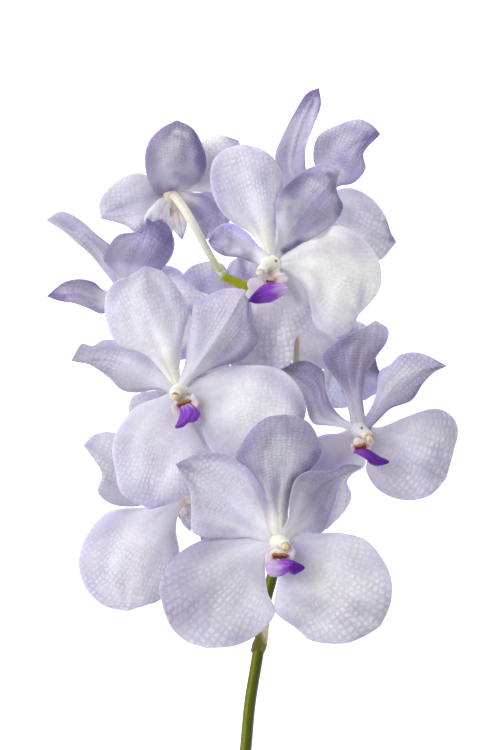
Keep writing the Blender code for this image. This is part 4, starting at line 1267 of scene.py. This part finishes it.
tepal_finish, tree, shader, painted = new_material("tepal", 0.5)
on_blade = blade_place(tree)
patches = noise_node(tree, on_blade, size=0.3, detail=1.0)
worn = stretched(tree, patches, low=0.45, high=1.3, start=0.35, end=0.65)
strength = math_node(tree, "MULTIPLY", add_node(tree, "SeparateXYZ", Vector=on_blade)["Z"], worn)
cells = add_node(tree, "Group", {"node_tree": vein_net}, Place=on_blade)["Cells"]
cloudy = mottled(tree, size=120.0)
net_tint = mix_colour(tree, "MIX", cells, VEIN_TINT, CELL_TINT)
netted = mix_colour(tree, "MULTIPLY", strength, painted, net_tint)
crepe = summed(tree, cloudy, 2.5, streaked(tree, on_blade, stretch=(0.6, 5.0, 0.0)), 0.8)
raised = math_node(tree, "MULTIPLY_ADD", cells, strength, crepe)
set_sockets(
    shader,
    Base_Color=shaded(tree, netted, cloudy, low=0.9, high=1.1),
    Roughness=stretched(tree, cloudy, low=0.42, high=0.6),
    Normal=bumped(tree, raised, strength=0.5, depth=0.0004),
    Specular_IOR_Level=0.35,
    Subsurface_Weight=0.2,
    Subsurface_Radius=(1.0, 0.9, 1.1),
    Subsurface_Scale=0.001,
    Sheen_Weight=0.1)
print("tepal material ready")

# %% [markdown]
# ## The tepals
#
# Each blade starts as a grid, which is set on the blade's rule row by row. The tip's row is one
# point, so its doubles are merged. Solidify gives it its wall, thinner towards the rim. A real
# petal has a bright thin edge, and a wall that thins shows it best. The five blades of a bloom are
# joined with the boss that carries them, because they are one piece of the flower.

# %% One blade
BLADE_WALL = 0.55
RIM_SHARE = 0.35
TIP_ZONE = 0.93


def add_blade(name, blade, mesh_size, seed, colour, form=relief, thickness=BLADE_WALL):
    """A blade from a grid that is set on its rule, and the place on the blade of each vertex."""
    made = add_grid(name, *mesh_size)
    mesh = made.data
    places = sorted({round(vertex.co.y, 6) for vertex in mesh.vertices})
    stops = {y: 1 - ((1 - y) / 2) ** TIP_CROWDING for y in places}
    lines = {y: blade.row(t) for y, t in stops.items()}
    wall = made.vertex_groups.new(name="wall")
    on_blade = []
    paint = []
    for vertex in mesh.vertices:
        y = round(vertex.co.y, 6)
        s = vertex.co.x
        t = stops[y]
        left, rib, right = lines[y]
        flat = left * (s * (s - 1) / 2) + rib * (1 - s * s) + right * (s * (s + 1) / 2)
        rise = form(t, s, flat, seed, blade.tepal.keel)
        strength = blade.tepal.net * ease(0.15, 0.7, t) * (1 - 0.5 * ease(TIP_ZONE, 1.0, t))
        on_blade += (*blade.net_place(flat, seed), strength)
        paint += (*colour(blade.tepal, t, s, flat, seed), 1.0)
        edge = max(abs(s) ** 6, ease(TIP_ZONE, 1.0, t))
        wall.add([vertex.index], 1 - edge, "REPLACE")
        vertex.co = seen(flat.x, flat.y, blade.height(t, s) + rise)
    write_on_blade(mesh, on_blade)
    write_paint(mesh, paint)
    close_ends()
    shell = made.modifiers.new("wall", "SOLIDIFY")
    shell.thickness = thickness * MM
    shell.offset = 0.0
    shell.vertex_group = "wall"
    shell.thickness_vertex_group = RIM_SHARE
    apply_modifiers(made)
    made.vertex_groups.clear()
    return made


print("blades have a wall of", BLADE_WALL, "mm")

# %% The boss that carries the blades
BOSS_MESH = (56, 32)
HUB_RADIUS = 3.0
HUB_DEPTH = 1.5
HUB_SPREAD = 0.6
SPECK_RADIUS = 0.7
PEACH = tone(228, 203, 186)
SPECK_BROWN = tone(120, 92, 74)
BEIGE = tone(206, 194, 180)


def claw_tone(bloom):
    """The tone that the dorsal sepal has at its claw."""
    return TONES[bloom.tepals["dorsal_sepal"].tones.split()[0]]


def with_speck(colour, at, bloom):
    """The colour, with the bloom's brown speck laid over it where it has one."""
    if not bloom.speck:
        return colour
    away = (at - seen(*bloom.speck, at.z / MM)).length / MM
    return blend(SPECK_BROWN, colour, ease(SPECK_RADIUS * 0.5, SPECK_RADIUS, away))


def add_boss(name, bloom):
    """The low boss in the middle of a bloom, with a swelling below each claw."""
    hub = seen(*bloom.hub)
    turn = facing(seen(*bloom.cap) - hub, Vector((0, 1, 0)))
    made = add_sphere(name, *BOSS_MESH)
    claws = [(seen(*tepal.left[0], bloom.hub[2]) - hub).normalized() for tepal in bloom.tepals.values()]
    radius = HUB_RADIUS if bloom.from_behind else HUB_RADIUS + HUB_SPREAD
    size = Vector((radius, radius, HUB_DEPTH))
    for vertex in made.data.vertices:
        vertex.co = turn @ (vertex.co * size)
        outward = vertex.co.normalized()
        swelling = max(outward.dot(claw) for claw in claws)
        vertex.co = hub + vertex.co * (1 + 0.1 * ease(0.7, 1.0, swelling)) * MM
    lip_way = (seen(*bloom.lip_base) - hub).normalized()
    base_tone = BEIGE if bloom.from_behind else claw_tone(bloom)

    def boss_paint(at):
        colour = blend(base_tone, PEACH, 0.35 * ease(0.3, 1.0, (at - hub).normalized().dot(lip_way)))
        return with_speck(colour, at, bloom)

    paint_by(made, boss_paint)
    keep_off_net(made)
    return made


print("a boss is", 2 * HUB_RADIUS, "mm wide or a little more")

# %% All the tepals
BLOOM_SEED = 1.7
TEPAL_SEED = 0.61
FIRST_SEED = 0.3

for number, (name, bloom) in enumerate(BLOOMS.items()):
    parts = [add_boss(name + "_boss", bloom)]
    for index, (kind, tepal) in enumerate(bloom.tepals.items()):
        seed = number * BLOOM_SEED + index * TEPAL_SEED + FIRST_SEED
        parts.append(add_blade(f"{name}_{kind}", Blade(tepal, bloom.hub), bloom.mesh, seed, paint_of))
    spread = join(name + "_petals", parts)
    lay_down(spread)
    finish(spread, tepal_finish, "tepal", name + "_tepals")

# %% [markdown]
# ## Column and cap
#
# In the middle of a bloom stands the column, a short white post with a hollow on the side of the
# lip, and on its end sits a small tan cap with a darker rim. The column is drawn up from a circle by
# extruding and scaling ring after ring, as on a lathe, and then the hollow is pressed in. Both are
# modelled once and copied into every bloom.

# %% Materials of the column and the cap
def waxy_material(name, roughness, mottle_size, low, high, depth, subsurface):
    """A painted, slightly mottled, waxy finish with a fine uneven skin."""
    made, tree, shader, painted = new_material(name, roughness)
    cloudy = mottled(tree, mottle_size)
    set_sockets(
        shader,
        Base_Color=shaded(tree, painted, cloudy, low, high),
        Normal=bumped(tree, cloudy, strength=0.4, depth=depth),
        Subsurface_Weight=subsurface,
        Subsurface_Scale=0.001)
    return made


column_finish = waxy_material(
    "column", roughness=0.5, mottle_size=500.0, low=0.97, high=1.03, depth=0.0001, subsurface=0.5)
cap_finish = waxy_material(
    "cap", roughness=0.45, mottle_size=900.0, low=0.85, high=1.15, depth=0.0002, subsurface=0.1)
print("column and cap materials ready")

# %% The column, drawn up ring by ring
COLUMN_RINGS = [(0.0, 3.6), (0.1, 3.1), (0.3, 2.65), (0.55, 2.4), (0.8, 2.3), (0.93, 2.1), (1.0, 1.5)]
COLUMN_SIDES = 20
END_INSET = 0.3

nothing_selected()
bpy.ops.mesh.primitive_circle_add(vertices=COLUMN_SIDES, radius=COLUMN_RINGS[0][1], fill_type="NOTHING")
column_model = bpy.context.object
edit_all()
for (low, wide), (high, narrow) in zip(COLUMN_RINGS, COLUMN_RINGS[1:]):
    bpy.ops.mesh.extrude_region_move(TRANSFORM_OT_translate={"value": (0.0, 0.0, high - low)})
    bpy.ops.transform.resize(value=(narrow / wide, narrow / wide, 1.0))
bpy.ops.mesh.edge_face_add()
bpy.ops.mesh.select_all(action="DESELECT")
bpy.ops.mesh.select_non_manifold()
bpy.ops.mesh.edge_face_add()
bpy.ops.mesh.select_all(action="SELECT")
bpy.ops.mesh.normals_make_consistent(inside=False)
bpy.ops.object.mode_set(mode="OBJECT")
for polygon in column_model.data.polygons:
    polygon.select = len(polygon.vertices) > 4
bpy.ops.object.mode_set(mode="EDIT")
bpy.ops.mesh.inset(thickness=END_INSET)
bpy.ops.mesh.poke()
bpy.ops.object.mode_set(mode="OBJECT")
smooth = column_model.modifiers.new("smooth", "SUBSURF")
smooth.levels = 1
smooth.render_levels = 1
apply_modifiers(column_model)
print("column:", len(column_model.data.vertices), "vertices")

# %% The cap, from a sphere with a flattened brow and a small beak
CAP_MESH = (40, 24)
BEAK_LENGTH = 0.25
FURROW_DEPTH = 0.12
BROW_DROP = 0.15

cap_model = add_sphere("cap_model", *CAP_MESH)
for vertex in cap_model.data.vertices:
    x, y, z = vertex.co
    beak = BEAK_LENGTH * bell(x, 0.35) * ease(0.3, 1.0, -y)
    furrow = FURROW_DEPTH * bell(x, 0.12) * ease(-0.2, 0.9, z)
    vertex.co = (x, y - beak, z * (1 - furrow) - BROW_DROP * ease(0.2, 1.0, -y))
print("cap:", len(cap_model.data.vertices), "vertices")

# %% A column in its place
COLUMN_FOOT = 0.5
COLUMN_TOP = 1.2
HOLLOW_PLACE = 0.62
HOLLOW_DEPTH = 0.9
WARM_WHITE = tone(226, 223, 212)
PINK_WHITE = tone(218, 204, 196)
HOLLOW_SHADE = tone(206, 184, 180)


def copy_of(model, name, place, turn, size):
    """A copy of a model with its own mesh, sized, turned and set in place."""
    made = bpy.data.objects.new(name, model.data.copy())
    made.data.transform(Matrix.Translation(place) @ turn.to_4x4() @ Matrix.Diagonal((*size, 1.0)))
    made.data.update()
    scene.collection.objects.link(made)
    return made


def column_ways(bloom):
    """Which way the column points, and which way the lip lies, square to that."""
    hub = seen(*bloom.hub)
    axis = (seen(*bloom.cap) - hub).normalized()
    return axis, square_to(axis, seen(*bloom.lip_base) - hub)


def add_column(name, bloom):
    """A copy of the column from the boss to the cap, with its hollow pressed in."""
    axis, lip_way = column_ways(bloom)
    start = seen(*bloom.hub) + axis * COLUMN_FOOT * MM
    length = (seen(*bloom.cap) - start).length - COLUMN_TOP * MM
    made = copy_of(column_model, name + "_post", start, facing(axis, -lip_way), (MM, MM, length))

    def on_column(at):
        """How far along the column a place is, and how much it faces the lip."""
        offset = at - start
        return offset.dot(axis) / length, square_to(axis, offset).dot(lip_way)

    def column_paint(at):
        along, around = on_column(at)
        colour = blend(WARM_WHITE, PINK_WHITE, ease(-0.2, 1.0, around))
        colour = blend(colour, claw_tone(bloom), 0.7 - 0.4 * ease(0.1, 0.9, along))
        # Painted shade in the hollow on the lip side.
        hollow = ease(0.5, 1.0, around) * bell(along - HOLLOW_PLACE, 0.2)
        return with_speck(blend(colour, HOLLOW_SHADE, 0.8 * hollow), at, bloom)

    for vertex in made.data.vertices:
        along, around = on_column(vertex.co)
        press = HOLLOW_DEPTH * ease(0.35, 1.0, around) * bell(along - HOLLOW_PLACE, 0.22)
        vertex.co -= lip_way * press * MM
    paint_by(made, column_paint)
    finish(made, column_finish, "column", name + "_column")


print("the column's hollow is", HOLLOW_DEPTH, "mm deep")

# %% A cap in its place
CAP_RADIUS = 1.45
CAP_DEPTH = 1.3
TAN = tone(208, 168, 120)
TAN_LIGHT = tone(234, 212, 174)
TAN_DARK = tone(140, 94, 56)


def add_cap(name, bloom):
    """A copy of the cap on the end of the column."""
    axis, lip_way = column_ways(bloom)
    cap = seen(*bloom.cap)
    size = (CAP_RADIUS * MM, CAP_RADIUS * MM, CAP_DEPTH * MM)
    made = copy_of(cap_model, name + "_cover", cap, facing(axis, -lip_way), size)

    def cap_paint(at):
        """Tan, lighter on the dome, with a dark rim, a dark brow on one side and a dark seam."""
        offset = (at - cap) / MM
        high = offset.dot(axis) / CAP_DEPTH
        front = offset.dot(lip_way) / CAP_RADIUS
        aside = offset.dot(axis.cross(lip_way)) / CAP_RADIUS
        dome = blend(TAN, TAN_LIGHT, ease(-0.4, 0.7, front * 0.5 + high * 0.5))
        brow = ease(0.3, 0.8, aside * 0.7 - front * 0.7)
        seam = bell(aside, 0.12) * ease(-0.2, 0.5, front)
        colour = blend(blend(TAN_DARK, dome, ease(-0.3, 0.3, high)), TAN_DARK, max(0.85 * brow, 0.6 * seam))
        return blend(colour, WARM_WHITE, bloom.faded)

    paint_by(made, cap_paint)
    finish(made, cap_finish, "cap", name + "_cap")


print("a cap is", 2 * CAP_RADIUS, "mm wide")

# %% A column and a cap for every bloom
for name, bloom in BLOOMS.items():
    add_column(name, bloom)
    add_cap(name, bloom)
bpy.data.objects.remove(column_model)
bpy.data.objects.remove(cap_model)

# %% [markdown]
# ## The lip
#
# The lip is the flower's one strong colour: a small tongue, pale at its root and deep violet towards
# its end, keeled along the middle and turned down at its sides. At its root two cream ears stand
# up beside a brown and orange callus. The tongue is a small thick blade. The ears are small
# shells, and the callus is a bar with rounded ridges.

# %% Material of the lip
lip_finish, tree, shader, painted = new_material("lip", 0.4)
ridges = streaked(tree, blade_place(tree), stretch=(0.8, 3.0, 0.0))
uneven = summed(tree, ridges, 0.6, mottled(tree, size=600.0), 0.4)
set_sockets(
    shader,
    Base_Color=shaded(tree, painted, uneven, low=0.8, high=1.2),
    Normal=bumped(tree, uneven, strength=0.5, depth=0.0003),
    Specular_IOR_Level=0.3,
    Subsurface_Weight=0.1,
    Subsurface_Scale=0.0008)
print("lip material ready")

# %% Colours of the lip
LIP_ROOT = tone(192, 168, 214)
LIP_MIDDLE = tone(134, 62, 186)
LIP_END = tone(78, 6, 134)
LIP_BACK_ROOT = tone(214, 198, 194)
LIP_BACK_MIDDLE = tone(212, 206, 220)
EAR = tone(220, 209, 214)
EAR_COOL = tone(204, 196, 214)
EAR_WARM = tone(222, 192, 174)
FOOT_TONE = tone(214, 200, 196)
CALLUS = tone(166, 114, 74)
CALLUS_DARK = tone(108, 48, 42)
THROAT = tone(136, 70, 116)


def tongue_paint(bloom, t, s):
    """Pale at the root, violet in the middle and deep at the end, with a thin pale rim."""
    if bloom.from_behind:
        colour = blend(LIP_BACK_ROOT, LIP_BACK_MIDDLE, ease(0.2, 0.6, t))
        return blend(colour, LIP_MIDDLE, 0.45 * ease(0.75, 0.95, t))
    pale, violet, deep = bloom.lip_stops
    streak = 0.1 * noise.noise(Vector((3.0 * t, 3.5 * s, violet)))
    colour = blend(LIP_ROOT, LIP_MIDDLE, ease(pale, violet, t + streak))
    colour = blend(colour, LIP_END, ease(violet, deep, t + streak))
    return blend(colour, LIP_ROOT, 0.55 * ease(0.86, 1.0, abs(s)))


print("tongue:", tongue_paint(BLOOMS["left"], 0.0, 0.0))

# %% The tongue
TONGUE_MESH = (34, 26)
TONGUE_SEED = 0.5
TONGUE_WALL = 1.1
TONGUE_CLAW = 1.2
LIP_WIDTH = 7.0
TONGUE_SHAPE = [(0.12, 0.72), (0.4, 0.95), (0.7, 0.9), (0.9, 0.5)]


def plain_tongue(bloom):
    """The outline of a lip that hardly shows, drawn about the line from its base to its tip."""
    base = Vector(bloom.lip_base[:2])
    tip = Vector(bloom.lip_tip[:2])
    ahead = (tip - base).normalized()
    aside = Vector((-ahead.y, ahead.x)) * LIP_WIDTH / 2
    left = [tuple(base.lerp(tip, along) + aside * wide) for along, wide in TONGUE_SHAPE]
    right = [tuple(base.lerp(tip, along) - aside * wide) for along, wide in TONGUE_SHAPE]
    low, high = bloom.lip_base[2], bloom.lip_tip[2]
    rise = (high - low) / 3
    return Tepal(left, tuple(tip), right, (low + rise, low + 2 * rise, high))


def tongue_form(t, s, flat, seed, keel):
    """Three low keels along the tongue, the middle one highest."""
    middle = 0.8 * bell(s, 0.22)
    sides = 0.35 * bell(abs(s) - 0.55, 0.15)
    return (middle + sides) * ease(0.0, 0.2, t) * (1 - ease(0.6, 1.0, t))


def add_tongue(name, bloom):
    """The tongue: a small thick blade with keels, turned down at its sides."""
    outline = bloom.lip or plain_tongue(bloom)
    outline.cup = 1.0 if bloom.from_behind else -1.3
    outline.wave = 0.3
    blade = Blade(outline, bloom.lip_root or bloom.lip_base, TONGUE_CLAW)
    return add_blade(
        name + "_tongue", blade, TONGUE_MESH, TONGUE_SEED,
        lambda tepal, t, s, flat, seed: tongue_paint(bloom, t, s), tongue_form, TONGUE_WALL)


print("a tongue is", TONGUE_WALL, "mm thick")

# %% A fleshy lump
LUMP_MESH = (28, 18)


def add_lump(name, centre, turn, size, colour, curl=0.0, ridges=0.0, blunt=0.0, uneven=0.0):
    """A small fleshy part from a sphere: sized, curled, ridged, blunt at its ends, or uneven."""
    made = add_sphere(name, *LUMP_MESH)
    for vertex in made.data.vertices:
        x, y, z = vertex.co
        swell = 1 + ridges * math.cos(9 * x)
        swell *= max(1 - x * x, 0.0001) ** -blunt
        swell *= 1 + uneven * noise.noise(vertex.co * 1.4 + centre * 1000)
        local = Vector((x * size[0], y * size[1] * swell, z * size[2] * swell))
        local.x += curl * (y * y + 0.5 * z * z) * ease(-0.2, 1.0, y)
        vertex.co = centre + turn @ local * MM
    paint_by(made, colour)
    keep_off_net(made)
    return made


print("a lump has", LUMP_MESH[0] * LUMP_MESH[1], "faces")

# %% The root of a lip: callus, ears and foot
FOOT_RISE = 2.3
FOOT_OUT = 2.4
FOOT_RADIUS = 1.0
FOOT_SPREAD = 1.0
PLAIN_FOOT_SPREAD = 0.2
EAR_HEIGHT = 0.7
BAR_RADIUS = 0.8
BAR_BLUNT = 0.15
BAR_HALF = 2.6
BACK_BAR_HALF = 1.4
PLAIN_EAR = (0.8, 1.4)


def add_lip_root(name, bloom):
    """The callus bar, an ear at each of its ends and the foot that joins the lip to the flower."""
    high, low, inside = (EAR, EAR, EAR) if bloom.from_behind else (CALLUS, CALLUS_DARK, THROAT)
    hub = seen(*bloom.hub)
    base = seen(*bloom.lip_base)
    tip = seen(*bloom.lip_tip)
    forward = (seen(*bloom.cap) - hub).normalized()
    if bloom.bar:
        ends = [seen(*end) for end in bloom.bar]
        ears = [(seen(*place), wide, long) for place, wide, long in bloom.ears]
    else:
        half_bar = BACK_BAR_HALF if bloom.from_behind else BAR_HALF
        aside = forward.cross(tip - base).normalized() * half_bar * MM
        ends = [base - aside, base + aside]
        ears = [(end + (tip - base) * 0.1, *PLAIN_EAR) for end in ends]
    along = (ends[1] - ends[0]).normalized()
    ahead = along.cross(forward).normalized()
    if ahead.dot(base - hub) < 0:
        ahead = -ahead
    up = square_to(along, forward)
    turn = Matrix((along, up, ahead)).transposed()
    middle = (ends[0] + ends[1]) / 2
    half = (ends[1] - ends[0]).length / 2 / MM
    throat = middle + (ahead * 1.2 - up * 0.45) * MM
    foot = hub + (square_to(forward, base - hub) * FOOT_OUT + forward * FOOT_RISE) * MM
    inner = base.lerp(tip, 0.15)

    def bar_paint(at):
        uneven = 0.5 * noise.noise(at * 900)
        colour = blend(high, low, ease(-0.5, 0.35, (at - middle).dot(ahead) / MM + uneven))
        return blend(colour, FOOT_TONE, bloom.faded)

    def throat_paint(at):
        return blend(low, inside, ease(-0.3, 0.8, (at - throat).dot(ahead) / MM))

    def ear_paint(at):
        away = (at - middle).length / MM
        near = blend(EAR_WARM, EAR, ease(2.0, 4.5, away))
        return blend(near, EAR_COOL, ease(4.5, 7.5, away + 2 * noise.noise(at * 500)))

    def foot_paint(at):
        along = (at - foot).dot(inner - foot) / (inner - foot).length_squared
        return blend(WARM_WHITE, FOOT_TONE, ease(0.0, 0.7, along))

    parts = [
        add_lump(
            name + "_callus", middle, turn, (half, BAR_RADIUS, BAR_RADIUS), bar_paint, ridges=0.12,
            blunt=BAR_BLUNT, uneven=0.5),
        add_lump(
            name + "_throat", throat, turn, (half * 0.85, BAR_RADIUS * 0.8, BAR_RADIUS), throat_paint,
            ridges=0.08, blunt=BAR_BLUNT)]
    for side, (place, wide, long) in zip((-1, 1), ears):
        parts.append(add_lump(
            name + "_ear", place, turn, (wide, EAR_HEIGHT, long), ear_paint, curl=0.5 * side, uneven=0.45))
    spread = FOOT_SPREAD if bloom.bar else PLAIN_FOOT_SPREAD
    size = (half + spread, FOOT_RADIUS, (inner - foot).length / 2 / MM + 0.8)
    foot_turn = facing(inner - foot, Vector((0, 0, 1)))
    parts.append(add_lump(name + "_foot", (inner + foot) / 2, foot_turn, size, foot_paint, uneven=0.2))
    return parts


print("a callus is", 2 * BAR_RADIUS, "mm thick")

# %% Lips of all the blooms
for name, bloom in BLOOMS.items():
    labellum = join(name + "_labellum", [add_tongue(name, bloom), *add_lip_root(name, bloom)])
    finish(labellum, lip_finish, "lip", name + "_lip")

# %% [markdown]
# ## Stalks
#
# Each bloom hangs on a cream stalk, the flower's ovary, which is ribbed along its length and turns
# greenish where it leaves the stem. A stalk and the stem are the same kind of form, a bar along a
# smooth route. A grid is rolled up round it, so every row of the grid is a ring that stands square
# to the route, with its own radius.

# %% A bar along a route
END_RINGS = (0.0, 0.8, 1.0)


def route(places, count):
    """Evenly spaced points of a smooth route through the places."""
    return [smooth_point(places, index / (count - 1)) for index in range(count)]


def add_stalk(name, path, radius, sides, colour):
    """A bar along a path. radius(t, angle) is in mm, and colour(t, angle, reach) gives its paint.

    A grid is rolled up into the bar. Its first and last rows close the ends.
    """
    last = len(path) - 1
    rings = [(0, reach) for reach in END_RINGS]
    rings += [(index, 1.0) for index in range(1, last)]
    rings += [(last, reach) for reach in reversed(END_RINGS)]
    frames = []
    side = Vector((1.0, 0.0, 0.0))
    for index, place in enumerate(path):
        ahead = (path[min(index + 1, last)] - path[max(index - 1, 0)]).normalized()
        side = square_to(ahead, side)
        frames.append((place, side, ahead.cross(side)))
    made = add_grid(name, len(rings) - 1, sides)
    colours = []
    for vertex in made.data.vertices:
        index, reach = rings[round((vertex.co.y + 1) / 2 * (len(rings) - 1))]
        t = index / last
        angle = math.pi * vertex.co.x
        place, first, second = frames[index]
        colours += (*colour(t, angle, reach), 1.0)
        around = first * math.cos(angle) + second * math.sin(angle)
        vertex.co = place + around * radius(t, angle) * reach * MM
    write_paint(made.data, colours)
    close_ends(outwards=True)
    return made


print("a bar closes over", len(END_RINGS), "rings at each end")

# %% Route of the stem, and shape and colours of a stalk
AXIS_STOPS = 400
PEDICEL_ROOT_RADIUS = 1.3
PEDICEL_END_RADIUS = 1.9
RIBS = 6
STALK_GREEN = tone(196, 200, 140)
STALK_BROWN = tone(182, 166, 160)
STALK_CREAM = tone(218, 216, 205)
STALK_END = tone(216, 198, 186)
STEM = [
    (-7, -235, 2.4), (-7, -215, 5), (-6, -190, 15), (-4, -165, 27), (-1.9, -145, 36),
    (-0.2, -127, 43), (2.4, -111, 48), (4.6, -97, 50), (5.8, -88, 50), (8.2, -79, 50), (11, -68, 50),
    (12.3, -50, 50), (11.5, -25, 50), (10.5, -5, 50), (8, 12, 50), (4, 24, 51), (-1, 33.5, 54),
    (-6.5, 36.5, 58), (-10, 38, 61),
]
axis_stops = route([seen(*station) for station in STEM], AXIS_STOPS)


def rib_wave(t, angle):
    """1 on a rib and -1 between two ribs, which twist a little along the stalk."""
    return math.cos(RIBS * angle + 2.5 * t)


def stalk_radius(t, angle):
    plain = PEDICEL_ROOT_RADIUS + (PEDICEL_END_RADIUS - PEDICEL_ROOT_RADIUS) * t
    return plain * (1 + 0.05 * rib_wave(t, angle))


def stalk_paint(t, angle, root_tone, root_end):
    """Green or brown up to root_end, then cream, and a little pink below the flower."""
    colour = blend(root_tone, STALK_CREAM, ease(root_end - 0.35, root_end, t))
    colour = blend(colour, STALK_END, ease(0.82, 0.97, t))
    return blend(colour, STALK_GREEN, 0.12 * (1 - (0.5 + 0.5 * rib_wave(t, angle))))


print("the stem's route has", len(axis_stops), "points")

# %% The stalks
SOCKET_LENGTH = 4.5
WAY_STOPS = 9
CLEAR_OF_SOCKET = 2.0
PEDICEL_RINGS = 48
PEDICEL_SIDES = 24

pedicel_finish = waxy_material(
    "pedicel", roughness=0.45, mottle_size=400.0, low=0.92, high=1.08, depth=0.0003, subsurface=0.2)


def hub_reach(slant):
    """How far the boss reaches from its middle, along a line with this cosine to its axis."""
    return 1 / math.sqrt((1 - slant * slant) / HUB_RADIUS**2 + slant * slant / HUB_DEPTH**2)


sockets = []
for name, bloom in BLOOMS.items():
    hub = seen(*bloom.hub)
    forward = (seen(*bloom.cap) - hub).normalized()
    places = [seen(*station) for station in bloom.pedicel]
    root = min(axis_stops, key=lambda stop: (stop - places[0]).length)
    way = route([root, *places[1:], hub], WAY_STOPS)[:-1]
    towards = (way[-1] - hub).normalized()
    way.append(hub + towards * hub_reach(towards.dot(forward)) * MM)
    ahead = (way[1] - root).normalized()
    start = root + ahead * SOCKET_LENGTH * MM
    further = [place for place in way[1:] if (place - start).dot(ahead) > CLEAR_OF_SOCKET * MM]
    path = route([start, start + ahead * MM, *further], PEDICEL_RINGS)
    root_tone, root_end = (STALK_BROWN, 0.8) if name == "top_front" else (STALK_GREEN, 0.35)
    stalk = add_stalk(
        name + "_stalk", path, stalk_radius, PEDICEL_SIDES,
        lambda t, angle, reach: stalk_paint(t, angle, root_tone, root_end))
    finish(stalk, pedicel_finish, "pedicel", name + "_pedicel")
    sockets.append((root, ahead))

# %% [markdown]
# ## The stem
#
# The stem is olive green, a little ribbed, darker towards its cut end and brighter at the raceme's
# tip. It has a sheathing bract at its one bare node and a short socket for every stalk.
# It is one piece, because all of it is one tissue.

# %% Material of the stem
stem_finish, tree, shader, painted = new_material("stem", 0.42)
stem_place = add_node(tree, "TexCoord")["Object"]
fibres = streaked(tree, stem_place, stretch=(1400.0, 90.0, 900.0), detail=3.0)
uneven = summed(tree, fibres, 0.5, mottled(tree, size=250.0), 0.5)
set_sockets(
    shader,
    Base_Color=shaded(tree, painted, uneven, low=0.75, high=1.25),
    Normal=bumped(tree, uneven, strength=0.5, depth=0.0003),
    Specular_IOR_Level=0.2)
print("stem material ready")

# %% The stem's bar
STEM_RADIUS = 2.55
AXIS_RADIUS = 1.9
STEM_RINGS = 240
STEM_SIDES = 28
STEM_RIBS = 7
OLIVE = tone(116, 126, 14)
OLIVE_DARK = tone(84, 92, 10)
OLIVE_SHADE = tone(52, 58, 8)
OLIVE_HIGHLIGHT = tone(146, 154, 34)
OLIVE_BRIGHT = tone(160, 166, 24)
CUT_FACE = tone(196, 200, 150)


def stem_radius(t, angle):
    plain = STEM_RADIUS + (AXIS_RADIUS - STEM_RADIUS) * t
    ended = 1 - ease(0.97, 1.0, t) * 0.1
    return plain * (1 + 0.02 * math.cos(STEM_RIBS * angle)) * ended


def stem_paint(t, angle, reach):
    """Olive, painted shade on one side and a painted highlight on the other, bright at the top, pale where it
    is cut.
    """
    colour = blend(OLIVE_DARK, OLIVE, ease(0.0, 0.12, t))
    colour = blend(colour, OLIVE_DARK, ease(0.28, 0.35, t))
    colour = blend(colour, OLIVE_BRIGHT, ease(0.8, 0.95, t))
    around = math.cos(angle)
    # Painted shade on the side away from the lamp, and a painted highlight streak on the side towards it.
    colour = blend(colour, OLIVE_SHADE, 0.85 * ease(0.0, 0.9, around) * (1 - ease(0.8, 0.95, t)))
    colour = blend(colour, OLIVE_HIGHLIGHT, 0.6 * bell(around + 0.5, 0.25))
    cut = (1 - ease(0.0, 0.003, t)) * (1 - ease(0.8, 0.95, reach))
    return blend(colour, CUT_FACE, cut)


parts = [add_stalk("stem_bar", route(axis_stops, STEM_RINGS), stem_radius, STEM_SIDES, stem_paint)]
print("stem:", len(parts[0].data.vertices), "vertices")

# %% A socket for every stalk
SOCKET_RADIUS = 1.6
SOCKET_RINGS = 14
SOCKET_SIDES = 20


def socket_radius(t, angle):
    return SOCKET_RADIUS * (1.15 - 0.25 * ease(0.2, 0.7, t) + 0.12 * ease(0.8, 1.0, t))


def socket_paint(t, angle, reach):
    return blend(OLIVE_BRIGHT, STALK_CREAM, ease(0.3, 0.9, t))


for root, ahead in sockets:
    end = root + ahead * SOCKET_LENGTH * MM
    path = route([root, (root + end) / 2, end], SOCKET_RINGS)
    parts.append(add_stalk("socket", path, socket_radius, SOCKET_SIDES, socket_paint))
print(len(sockets), "sockets")

# %% The bract, and the whole stem
BRACT_BASE = (2.6, -107.6, 47.6)
BRACT_TIP = (6.3, -96.5, 52.5)
BRACT_RINGS = 30
BRACT_SIDES = 28
BRACT_RADIUS = 2.65
BRACT_TOP = tone(200, 192, 168)
BRACT_GREEN = tone(100, 100, 28)
BRACT_HIGHLIGHT = tone(136, 132, 62)
BRACT_BROWN = tone(92, 72, 34)


def bract_radius(t, angle):
    swell = BRACT_RADIUS + 0.4 * math.sin(math.pi * min(t * 2.2, 1.0)) - 0.15 * ease(0.0, 0.08, t)
    return swell * (1 - 0.5 * ease(0.45, 1.0, t))


def bract_paint(t, angle, reach):
    """Green between brown edges, with a painted highlight streak, fading to a pale papery tip."""
    around = math.cos(angle)
    colour = blend(BRACT_BROWN, BRACT_GREEN, ease(0.0, 0.14, t))
    colour = blend(colour, BRACT_BROWN, 0.7 * ease(0.3, 0.95, -around))
    # A painted highlight streak along the bulge.
    colour = blend(colour, BRACT_HIGHLIGHT, 0.7 * bell(around - 0.35, 0.25))
    return blend(colour, BRACT_TOP, ease(0.45, 0.8, t + 0.2 * around))


base = seen(*BRACT_BASE)
tip = seen(*BRACT_TIP)
path = route([base, base.lerp(tip, 0.5), tip], BRACT_RINGS)
parts.append(add_stalk("bract", path, bract_radius, BRACT_SIDES, bract_paint))
whole = join("stem_whole", parts)
lay_down(whole)
finish(whole, stem_finish, "stem", "stem")
